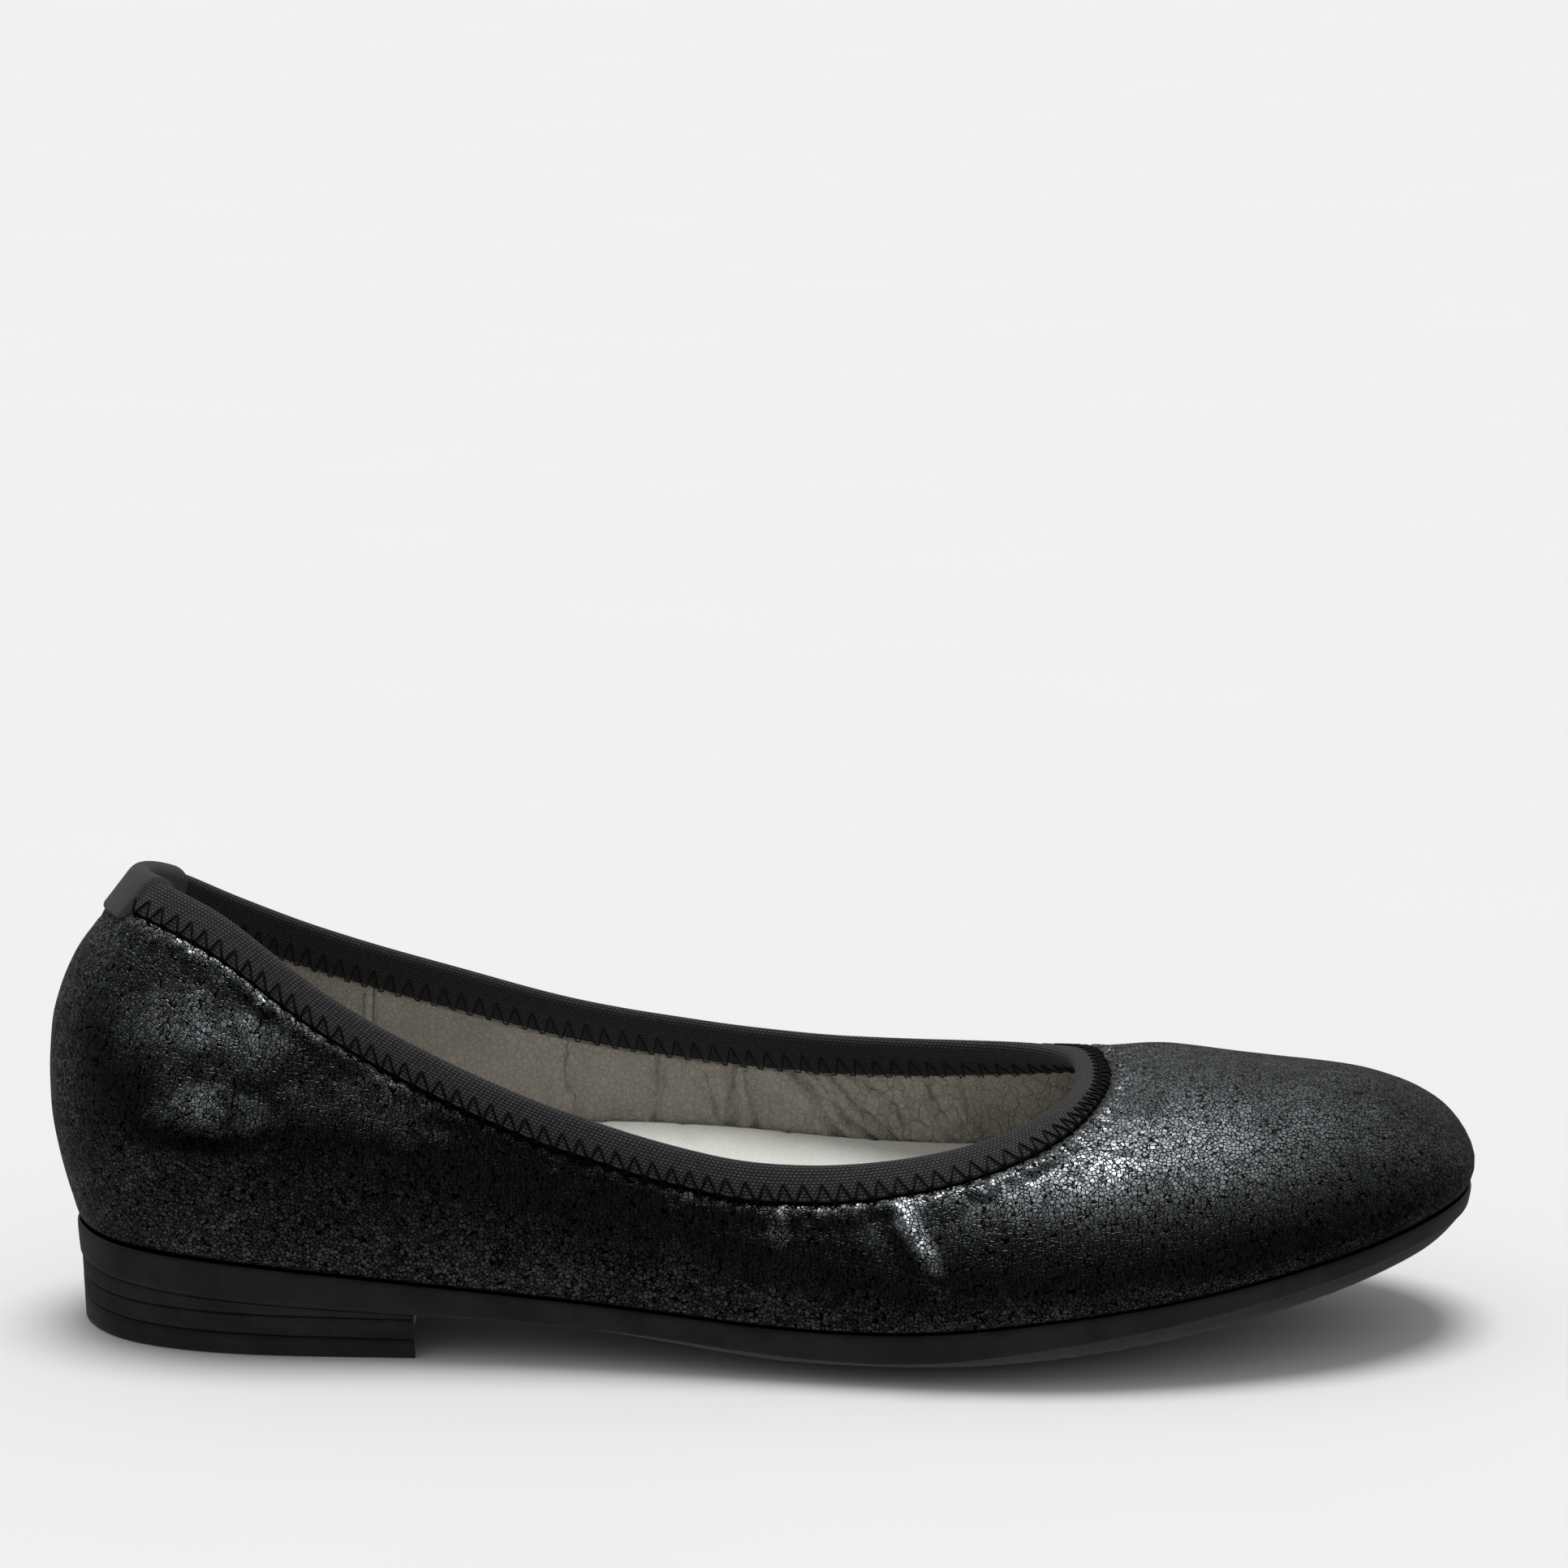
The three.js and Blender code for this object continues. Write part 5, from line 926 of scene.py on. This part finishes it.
def upper_material():
    m = Nodes("upper_leather_look")
    vec = m.warp(m.obj, 420, 0.0008)
    cell = m.voronoi(1320, vec=vec)
    edge = m.voronoi(1320, "DISTANCE_TO_EDGE", vec=vec).outputs["Distance"]
    plate = m.range(edge, 0.04, 0.13)
    tone = m.node("ShaderNodeSeparateColor", {0: cell.outputs["Color"]}).outputs[0]
    tone = m.range(tone, 0.0, 1.0, 0.34, 1.0, "LINEAR")
    fine = m.noise(5200, 2.0, 0.6)
    patch = m.range(m.noise(85, 4.0, 0.60), 0.34, 0.62, 0.70, 1.0)
    small = m.range(m.noise(420, 3.0, 0.55), 0.30, 0.62, 0.72, 1.0)
    # the plates get painted shade toward the front of the shoe, standing in for the top light falling off there; the
    # finish is also rubbed at the side of the heel, along the flex fold and by the gathers
    sep = m.node("ShaderNodeSeparateXYZ", {0: m.obj})
    x, y, z = sep.outputs[0], sep.outputs[1], sep.outputs[2]
    # painted shade: plate colour and shine fall to half toward the front of the shoe
    painted_toe_falloff = m.range(x, 0.040, 0.112, 1.0, 0.50)

    def spot(cx, cz, rx, rz):
        a = m.math("POWER", m.math("DIVIDE", m.math("SUBTRACT", x, cx), rx), 2.0)
        b = m.math("POWER", m.math("DIVIDE", m.math("SUBTRACT", z, cz), rz), 2.0)
        return m.range(m.math("ADD", m.math("ADD", a, b), m.range(m.noise(150, 4.0, 0.65), 0.25, 0.75, -1.0, 1.0, "LINEAR")), -0.2, 1.9, 1.0, 0.0)

    def streak(x0, z0, x1, z1, w):
        n = math.hypot(x1 - x0, z1 - z0)
        off = m.math("SUBTRACT", m.math("MULTIPLY", m.math("SUBTRACT", x, x0), (z1 - z0) / n), m.math("MULTIPLY", m.math("SUBTRACT", z, z0), (x1 - x0) / n))
        t = m.math("ADD", m.math("MULTIPLY", m.math("SUBTRACT", x, x0), (x1 - x0) / n ** 2), m.math("MULTIPLY", m.math("SUBTRACT", z, z0), (z1 - z0) / n ** 2))
        a = m.math("POWER", m.math("DIVIDE", off, w), 2.0)
        b = m.math("POWER", m.math("MULTIPLY", m.math("SUBTRACT", t, 0.5), 1.9), 4.0)
        return m.range(m.math("ADD", m.math("ADD", a, b), m.range(m.noise(240, 3.0, 0.6), 0.2, 0.8, -0.5, 0.5, "LINEAR")), 0.0, 1.4, 1.0, 0.0)
    rub = m.math("MAXIMUM", m.math("MULTIPLY", spot(-0.0965, 0.0440, 0.0125, 0.0062), 0.92), m.math("MULTIPLY", spot(-0.099, 0.0580, 0.015, 0.0075), 0.46))
    rub = m.math("MAXIMUM", rub, m.math("MULTIPLY", spot(-0.068, 0.0450, 0.018, 0.0065), 0.46))
    rub = m.math("MAXIMUM", rub, m.math("MULTIPLY", streak(0.0240, 0.0335, 0.0325, 0.0200, 0.0024), 0.75))
    rub = m.math("MAXIMUM", rub, m.math("MULTIPLY", streak(0.0035, 0.0300, 0.0050, 0.0240, 0.0022), 0.60))
    side = m.range(y, -0.012, 0.0, 1.0, 0.0)
    rub = m.math("MULTIPLY", rub, side)
    # shine carries the painted shade toward the front of the shoe into colour and roughness
    shine = m.math("MULTIPLY", m.math("MULTIPLY", plate, tone), m.math("MULTIPLY", m.math("MULTIPLY", patch, painted_toe_falloff), small))
    color = m.mixc(shine, (0.0042, 0.0043, 0.0047, 1), (0.345, 0.367, 0.378, 1))
    rough = m.mixf(shine, 0.58, 0.235)
    rough = m.math("ADD", rough, m.math("MULTIPLY", m.math("MULTIPLY", rub, plate), 0.10))
    # every little plate lies at its own small tilt
    tilt = m.node("ShaderNodeVectorMath", {0: cell.outputs["Color"], 1: (0.5, 0.5, 0.5)}, operation="SUBTRACT").outputs[0]
    tilt = m.node("ShaderNodeVectorMath", {0: tilt, "Scale": 0.11}, operation="SCALE").outputs[0]
    swell = m.node("ShaderNodeCombineXYZ", {0: 0.0, 1: 0.0, 2: m.math("MULTIPLY", rub, 0.72)}).outputs[0]
    base = m.node("ShaderNodeVectorMath", {0: m.tc.outputs["Normal"], 1: tilt}, operation="ADD").outputs[0]
    base = m.node("ShaderNodeVectorMath", {0: base, 1: swell}, operation="ADD").outputs[0]
    base = m.node("ShaderNodeVectorMath", {0: base}, operation="NORMALIZE").outputs[0]
    height = m.math("ADD", m.math("MULTIPLY", plate, 0.8), m.math("MULTIPLY", fine, 0.25))
    nrm = m.bump(height, 0.00007, 0.6, base)
    return m.finish(color, rough, nrm, 1.0)


def tape_material():
    m = Nodes("elastic_tape_look")
    # woven rows: uv is in millimetres along and across the tape
    vec = m.mapping(m.uv, (1, 1, 1))
    br = m.node("ShaderNodeTexBrick", {"Vector": vec, "Color1": (1, 1, 1, 1), "Color2": (0.62, 0.62, 0.62, 1), "Mortar": (0, 0, 0, 1), "Scale": 1.0,
                                        "Mortar Size": 0.15, "Mortar Smooth": 0.5, "Brick Width": 0.80, "Row Height": 0.58}, offset=0.5)
    br_f = m.node("ShaderNodeSeparateColor", {0: br.outputs["Color"]}).outputs[0]
    fibre = m.noise(1.0, 3.0, 0.6, m.mapping(m.uv, (14, 2.2, 1)))
    fuzz = m.noise(3800, 3.0, 0.65)
    h = m.math("ADD", m.math("MULTIPLY", br_f, 0.8), m.math("MULTIPLY", fibre, 0.35))
    shade = m.math("MULTIPLY", br_f, m.range(fuzz, 0.25, 0.75, 0.55, 1.1, "LINEAR"))
    color = m.mixc(shade, (0.0030, 0.0030, 0.0034, 1), (0.094, 0.094, 0.095, 1))
    across = m.node("ShaderNodeSeparateXYZ", {0: m.uv}).outputs[1]
    # painted shade: the inner half of the tape, from past the fold to its lower edge inside the shoe, is darkened
    # toward black
    painted_inner_shade = m.math("MULTIPLY", m.range(across, FOLD_START, FOLD_START + 2.2), m.range(across, FOLD_END - 0.3, FOLD_END + 0.9, 1.0, 0.0))
    color = m.mixc(m.math("MULTIPLY", painted_inner_shade, 0.72), color, (0.0035, 0.0035, 0.0038, 1))
    rough = m.range(fuzz, 0.2, 0.8, 0.95, 0.7, "LINEAR")
    nrm = m.bump(h, 0.00028, 1.0)
    return m.finish(color, rough, nrm, 0.0, Specular_IOR_Level=0.25, Sheen_Weight=0.10, Sheen_Roughness=0.6)


def tab_material():
    m = Nodes("ribbed_tape_look")
    fuzz = m.noise(4200, 3.0, 0.65)
    cross = m.node("ShaderNodeTexWave", {"Vector": m.mapping(m.uv, (1, 1, 1)), "Scale": 0.62, "Distortion": 0.6, "Detail": 1.0}, wave_type="BANDS", bands_direction="Y").outputs["Fac"]
    shade = m.math("MULTIPLY", m.range(fuzz, 0.25, 0.75, 0.5, 1.1, "LINEAR"), m.range(cross, 0, 1, 0.6, 1.0, "LINEAR"))
    color = m.mixc(shade, (0.008, 0.008, 0.008, 1), (0.072, 0.070, 0.068, 1))
    h = m.math("ADD", m.math("MULTIPLY", cross, 0.5), m.math("MULTIPLY", fuzz, 0.4))
    return m.finish(color, m.range(fuzz, 0.2, 0.8, 0.95, 0.75, "LINEAR"), m.bump(h, 0.00010, 0.8), 0.0, Specular_IOR_Level=0.25, Sheen_Weight=0.08, Sheen_Roughness=0.6)


def thread_material(name, dark, light):
    m = Nodes(name)
    ply = m.node("ShaderNodeTexWave", {"Vector": m.mapping(m.obj, (1, 1, 1), (0.4, 0.7, 0.3)), "Scale": 620.0, "Distortion": 1.5, "Detail": 1.0}, wave_type="BANDS").outputs["Fac"]
    fuzz = m.noise(6500, 2.0, 0.6)
    color = m.mixc(m.math("MULTIPLY", ply, m.range(fuzz, 0.2, 0.8, 0.6, 1.1, "LINEAR")), dark, light)
    return m.finish(color, m.range(fuzz, 0.2, 0.8, 0.75, 0.5, "LINEAR"), m.bump(ply, 0.00006, 0.7), 0.0, Specular_IOR_Level=0.2)


def lining_material():
    m = Nodes("lining_leather_look")
    vec = m.warp(m.obj, 260, 0.0016)
    peb = m.voronoi(820, "DISTANCE_TO_EDGE", vec=vec).outputs["Distance"]
    peb2 = m.voronoi(1900, "DISTANCE_TO_EDGE", vec=vec).outputs["Distance"]
    grain = m.range(peb, 0.0, 0.16)
    grain2 = m.range(peb2, 0.0, 0.2)
    cloud = m.noise(70, 4.0, 0.6)
    fibre = m.noise(2600, 3.0, 0.6)
    tone = m.math("ADD", m.math("MULTIPLY", cloud, 0.55), m.math("MULTIPLY", fibre, 0.45))
    color = m.mixc(m.range(tone, 0.3, 0.7), (0.315, 0.288, 0.248, 1), (0.455, 0.425, 0.375, 1))
    sep = m.node("ShaderNodeSeparateXYZ", {0: m.obj})
    front = m.range(sep.outputs[0], -0.015, 0.030, 0.25, 1.0)
    wvec = m.warp(m.warp(m.obj, 210, 0.0035), 620, 0.0012)
    # a network of large creases toward the front: dented in as bumps, with painted shade darkening its lines
    crease_net_dent_and_shade = m.range(m.voronoi(300, "DISTANCE_TO_EDGE", vec=m.mapping(wvec, (1.25, 1.0, 0.75), (0.0, 0.5, 0.0))).outputs["Distance"], 0.0, 0.055)
    crease_net_dent_and_shade = m.mixf(front, 1.0, crease_net_dent_and_shade)
    crease_net_dent_and_shade = m.mixf(m.range(m.noise(130, 3.0, 0.6), 0.25, 0.50), 1.0, crease_net_dent_and_shade)
    color = m.mixc(m.range(grain, 0, 1, 0.30, 0.0, "LINEAR"), color, (0.19, 0.17, 0.145, 1))
    # painted shade along the crease network
    color = m.mixc(m.range(crease_net_dent_and_shade, 0, 1, 0.42, 0.0, "LINEAR"), color, (0.15, 0.132, 0.112, 1))
    # the long soft creases on the inner side, each a pair of fine lines that wander; they are pressed in as bumps and
    # given painted shade as darker colour
    ws = m.node("ShaderNodeSeparateXYZ", {0: m.warp(m.warp(m.obj, 150, 0.0042), 700, 0.0012)})
    x, z = ws.outputs[0], ws.outputs[2]
    line = None
    for x0, z0, x1, z1, w in ((-0.0199, 0.044, -0.0207, 0.026, 0.00045), (-0.0185, 0.040, -0.0212, 0.029, 0.0003), (-0.0059, 0.045, -0.0075, 0.027, 0.00055),
                              (-0.0040, 0.043, -0.0010, 0.023, 0.00045), (-0.0120, 0.041, -0.0075, 0.028, 0.0003), (-0.0370, 0.048, -0.0360, 0.032, 0.0003),
                              (0.0030, 0.043, 0.0165, 0.022, 0.0005), (0.0055, 0.042, 0.0200, 0.024, 0.00045), (0.0095, 0.041, 0.0240, 0.025, 0.0004),
                              (0.0160, 0.041, 0.0270, 0.028, 0.0004), (0.0290, 0.041, 0.0340, 0.025, 0.0004), (0.0370, 0.041, 0.0400, 0.026, 0.0004)):
        n = math.hypot(x1 - x0, z1 - z0)
        off = m.math("SUBTRACT", m.math("MULTIPLY", m.math("SUBTRACT", x, x0), (z1 - z0) / n), m.math("MULTIPLY", m.math("SUBTRACT", z, z0), (x1 - x0) / n))
        t = m.math("ADD", m.math("MULTIPLY", m.math("SUBTRACT", x, x0), (x1 - x0) / n ** 2), m.math("MULTIPLY", m.math("SUBTRACT", z, z0), (z1 - z0) / n ** 2))
        body = m.range(m.math("ABSOLUTE", m.math("SUBTRACT", t, 0.5)), 0.40, 0.62, 1.0, 0.0)
        one = m.math("MULTIPLY", m.range(m.math("ABSOLUTE", off), 0.0, w * 1.5, 1.0, 0.0), body)
        line = one if line is None else m.math("MAXIMUM", line, one)
    line = m.math("MULTIPLY", m.math("MULTIPLY", line, m.range(m.noise(260, 3.0, 0.6), 0.30, 0.62, 0.35, 1.0)), m.range(sep.outputs[1], 0.0, 0.006, 0.0, 1.0))
    # painted shade in the long creases
    color = m.mixc(m.math("MULTIPLY", line, 0.40), color, (0.115, 0.100, 0.084, 1))
    h = m.math("ADD", m.math("MULTIPLY", grain, 0.6), m.math("ADD", m.math("MULTIPLY", grain2, 0.3), m.math("MULTIPLY", fibre, 0.3)))
    h = m.math("SUBTRACT", m.math("ADD", h, m.math("MULTIPLY", crease_net_dent_and_shade, 1.2)), m.math("MULTIPLY", line, 1.8))
    return m.finish(color, m.range(cloud, 0.3, 0.7, 0.62, 0.8, "LINEAR"), m.bump(h, 0.00022, 0.8), 0.0, Specular_IOR_Level=0.35)


def sock_material():
    m = Nodes("sock_leather_look")
    vec = m.warp(m.obj, 300, 0.0012)
    peb = m.range(m.voronoi(1100, "DISTANCE_TO_EDGE", vec=vec).outputs["Distance"], 0.0, 0.18)
    cloud = m.noise(55, 4.0, 0.6)
    fibre = m.noise(3000, 3.0, 0.6)
    color = m.mixc(m.range(cloud, 0.3, 0.7), (0.79, 0.79, 0.735, 1), (0.89, 0.89, 0.835, 1))
    color = m.mixc(m.range(peb, 0, 1, 0.12, 0.0, "LINEAR"), color, (0.46, 0.45, 0.41, 1))
    h = m.math("ADD", m.math("MULTIPLY", peb, 0.6), m.math("MULTIPLY", fibre, 0.3))
    return m.finish(color, m.range(fibre, 0.3, 0.7, 0.55, 0.72, "LINEAR"), m.bump(h, 0.00010, 0.5), 0.0, Specular_IOR_Level=0.35)


def rubber_material(name, base, light, rough_lo, rough_hi, lines=False):
    m = Nodes(name)
    cloud = m.noise(140, 3.0, 0.6)
    fine = m.noise(3600, 3.0, 0.7)
    scuff = m.range(m.noise(1.0, 3.0, 0.7, m.mapping(m.obj, (60, 60, 900))), 0.52, 0.75)
    color = m.mixc(m.range(cloud, 0.3, 0.7), base, light)
    h = m.math("MULTIPLY", fine, 0.6)
    if lines:
        strata = m.node("ShaderNodeTexWave", {"Vector": m.mapping(m.obj, (1, 1, 1), (0, 0, 0)), "Scale": 260.0, "Distortion": 2.0, "Detail": 2.0}, wave_type="BANDS", bands_direction="Z").outputs["Fac"]
        h = m.math("ADD", h, m.math("MULTIPLY", strata, 0.35))
        color = m.mixc(m.math("MULTIPLY", strata, 0.35), color, base)
    rough = m.math("ADD", m.range(fine, 0.3, 0.7, rough_lo, rough_hi, "LINEAR"), m.math("MULTIPLY", scuff, 0.08))
    return m.finish(color, rough, m.bump(h, 0.00005, 0.5), 0.0, Specular_IOR_Level=0.3 if lines else 0.5)


def grainy(name, a, b, scale, rough, distance, metallic=0.0, specks=None):
    m = Nodes(name)
    n1, n2 = m.noise(scale, 4.0, 0.6), m.noise(scale * 7, 3.0, 0.6)
    color = m.mixc(m.range(n1, 0.3, 0.7), a, b)
    h = m.math("ADD", n1, m.math("MULTIPLY", n2, 0.5))
    if specks:
        v = m.range(m.voronoi(specks[0]).outputs["Distance"], 0.15, 0.35)
        color = m.mixc(m.math("SUBTRACT", 1.0, v), color, specks[1])
        h = m.math("ADD", h, m.math("MULTIPLY", v, 0.6))
    return m.finish(color, m.range(n2, 0.3, 0.7, rough - 0.08, rough + 0.08, "LINEAR"), m.bump(h, distance, 0.7), metallic)


LOOKS = {
    "upper_leather": upper_material(),
    "elastic_tape": tape_material(),
    "ribbed_tape": tab_material(),
    "thread": thread_material("thread_look", (0.0014, 0.0014, 0.0014, 1), (0.0050, 0.0050, 0.0050, 1)),
    "lining_thread": thread_material("lining_thread_look", (0.18, 0.165, 0.14, 1), (0.36, 0.335, 0.30, 1)),
    "lining_leather": lining_material(),
    "sock_leather": sock_material(),
    "rubber": rubber_material("rubber_look", (0.0125, 0.0125, 0.0127, 1), (0.0205, 0.0205, 0.0207, 1), 0.34, 0.50),
    "heel_stack": rubber_material("heel_stack_look", (0.0150, 0.0150, 0.0152, 1), (0.0270, 0.0270, 0.0272, 1), 0.40, 0.58, lines=True),
    "fibre_board": grainy("fibre_board_look", (0.23, 0.165, 0.10, 1), (0.40, 0.30, 0.19, 1), 500, 0.85, 0.00015),
    "foam": grainy("foam_look", (0.62, 0.55, 0.36, 1), (0.76, 0.69, 0.48, 1), 900, 0.9, 0.0002, 0.0, (1400, (0.42, 0.36, 0.22, 1))),
    "cork_filler": grainy("cork_filler_look", (0.30, 0.16, 0.075, 1), (0.50, 0.31, 0.16, 1), 350, 0.9, 0.0003, 0.0, (650, (0.12, 0.06, 0.03, 1))),
    "shank_steel": grainy("shank_steel_look", (0.42, 0.44, 0.46, 1), (0.56, 0.58, 0.60, 1), 700, 0.38, 0.00003, 1.0),
}


def dress(ob, slot):
    ob.data.materials.clear()
    ob.data.materials.append(LOOKS[slot])


PIECE_SLOTS = {
    "leather_vamp_lateral": "upper_leather", "leather_medial_quarter": "upper_leather", "lining_front": "lining_leather", "lining_heel": "lining_leather",
    "tape_binding": "elastic_tape", "heel_tape_tab": "ribbed_tape", "zigzag_thread": "thread", "seam_thread_medial": "thread",
    "lining_thread_lateral": "lining_thread", "lining_thread_medial": "lining_thread", "outsole_rubber": "rubber", "heel_lift_top": "heel_stack",
    "heel_lift_bottom": "heel_stack", "heel_rubber": "rubber", "footbed_foam": "foam", "sock_sheet": "sock_leather",
}
for piece_name, slot_name in PIECE_SLOTS.items():
    dress(made[piece_name], slot_name)
NODE_SLOTS = {
    "outsole": "rubber", "heel_top_piece": "rubber", "heel_lift_upper": "heel_stack", "heel_lift_lower": "heel_stack", "shank": "shank_steel",
    "sole_filler": "cork_filler", "insole_board": "fibre_board", "heel_counter": "fibre_board", "toe_puff": "fibre_board", "footbed_cushion": "foam",
    "sock": "sock_leather", "upper_vamp_lateral": "upper_leather", "upper_medial_quarter": "upper_leather", "vamp_lining": "lining_leather",
    "heel_lining": "lining_leather", "topline_binding": "elastic_tape", "heel_tab": "ribbed_tape", "topline_zigzag_stitch": "thread",
    "medial_seam_stitch": "thread", "heel_lining_stitch_lateral": "lining_thread", "heel_lining_stitch_medial": "lining_thread",
}
for node_name, slot_name in NODE_SLOTS.items():
    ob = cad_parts[node_name]
    ob.data.materials.clear()
    ob.data.materials.append(LOOKS[slot_name])

# ==== floor, light, camera =====================================================================
bm = bmesh.new()
bmesh.ops.create_grid(bm, x_segments=8, y_segments=8, size=12.0)
me = bpy.data.meshes.new("studio_floor")
bm.to_mesh(me)
bm.free()
floor = bpy.data.objects.new("studio_floor", me)
floor.location = (0, 0, -0.00005)
bpy.context.scene.collection.objects.link(floor)
fm = Nodes("studio_floor_look")
paper = fm.noise(9, 3.0, 0.5)
me.materials.append(fm.finish(fm.mixc(fm.range(paper, 0.3, 0.7), (0.862, 0.862, 0.862, 1), (0.868, 0.868, 0.868, 1)), 0.9, None, 0.0, Specular_IOR_Level=0.0))
floor.visible_glossy = False

scene = bpy.context.scene
scene.view_settings.view_transform = "Standard"
scene.view_settings.look = "None"
scene.view_settings.exposure = 0.0
scene.view_settings.gamma = 1.0

WORLD_BACK, WORLD_FRONT, WORLD_BELOW, WORLD_FILL = 0.48, 0.008, 0.150, 0.44
world = bpy.data.worlds.new("studio")
scene.world = world
world.use_nodes = True
wt = world.node_tree
wt.nodes.clear()


def wn(kind, inputs=None, **props):
    n = wt.nodes.new(kind)
    for k, v in props.items():
        setattr(n, k, v)
    for k, v in (inputs or {}).items():
        if isinstance(v, bpy.types.NodeSocket):
            wt.links.new(v, n.inputs[k])
        else:
            n.inputs[k].default_value = v
    return n


# a soft room: bright behind and above, dark on the near side, a little light from below
wd = wn("ShaderNodeTexCoord").outputs["Generated"]
wx = wn("ShaderNodeSeparateXYZ", {0: wd})


def wrange(x, a, b, c, d):
    return wn("ShaderNodeMapRange", {"Value": x, "From Min": a, "From Max": b, "To Min": c, "To Max": d}, interpolation_type="SMOOTHSTEP").outputs[0]


def wmath(op, a, b):
    return wn("ShaderNodeMath", {0: a, 1: b}, operation=op).outputs[0]


w_back = wrange(wx.outputs[1], -0.30, 0.60, 0.0, 1.0)
w_high = wrange(wx.outputs[2], -0.05, 0.85, 0.35, 1.0)
w_up = wmath("ADD", wmath("MULTIPLY", wmath("MULTIPLY", w_back, w_high), WORLD_BACK), WORLD_FRONT)
w_mask = wrange(wx.outputs[2], -0.62, -0.16, 0.0, 1.0)
wl = wmath("ADD", wmath("MULTIPLY", w_up, w_mask), wmath("MULTIPLY", wmath("SUBTRACT", 1.0, w_mask), WORLD_BELOW))
w_fill = wn("ShaderNodeLightPath").outputs["Is Diffuse Ray"]
w_even = wrange(wx.outputs[2], -0.05, 0.35, 0.10, WORLD_FILL)
wl = wmath("ADD", wmath("MULTIPLY", wl, wmath("SUBTRACT", 1.0, w_fill)), wmath("MULTIPLY", w_even, w_fill))
wb = wn("ShaderNodeBackground", {"Color": (1, 1, 1, 1), "Strength": wl})
wc = wn("ShaderNodeBackground", {"Color": (0.863, 0.863, 0.863, 1), "Strength": 1.0})
wp = wn("ShaderNodeLightPath").outputs["Is Camera Ray"]
wm = wn("ShaderNodeMixShader", {0: wp, 1: wb.outputs[0], 2: wc.outputs[0]})
wo = wn("ShaderNodeOutputWorld", {0: wm.outputs[0]})

sun = bpy.data.lights.new("soft_top_light", "SUN")
sun.energy = 1.86
sun.angle = math.radians(27)
sun_ob = bpy.data.objects.new("soft_top_light", sun)
d = Vector((-0.02, -0.10, -1.0)).normalized()           # light travels down, from slightly to the heel side and behind
sun_ob.rotation_mode = "QUATERNION"
sun_ob.rotation_quaternion = d.to_track_quat("-Z", "Y")
scene.collection.objects.link(sun_ob)

cam = bpy.data.cameras.new("camera")
cam.sensor_width = 36.0
cam.sensor_fit = "HORIZONTAL"
cam.lens = 6560.93 / 1932 * 36.0
cam.clip_start, cam.clip_end = 0.01, 100
cam_ob = bpy.data.objects.new("camera", cam)
scene.collection.objects.link(cam_ob)
a, p = math.radians(2.0), math.radians(11.567)
right = Vector((math.cos(a), math.sin(a), 0))
fwd = Vector((-math.sin(a) * math.cos(p), math.cos(a) * math.cos(p), -math.sin(p)))
up = right.cross(fwd)
eye = (np.array([160.105, -929.433, 289.193]) + SHIFT) / 1000
cam_ob.matrix_world = Matrix(((right.x, up.x, -fwd.x, eye[0]), (right.y, up.y, -fwd.y, eye[1]), (right.z, up.z, -fwd.z, eye[2]), (0, 0, 0, 1)))
scene.camera = cam_ob

bpy.context.view_layer.update()
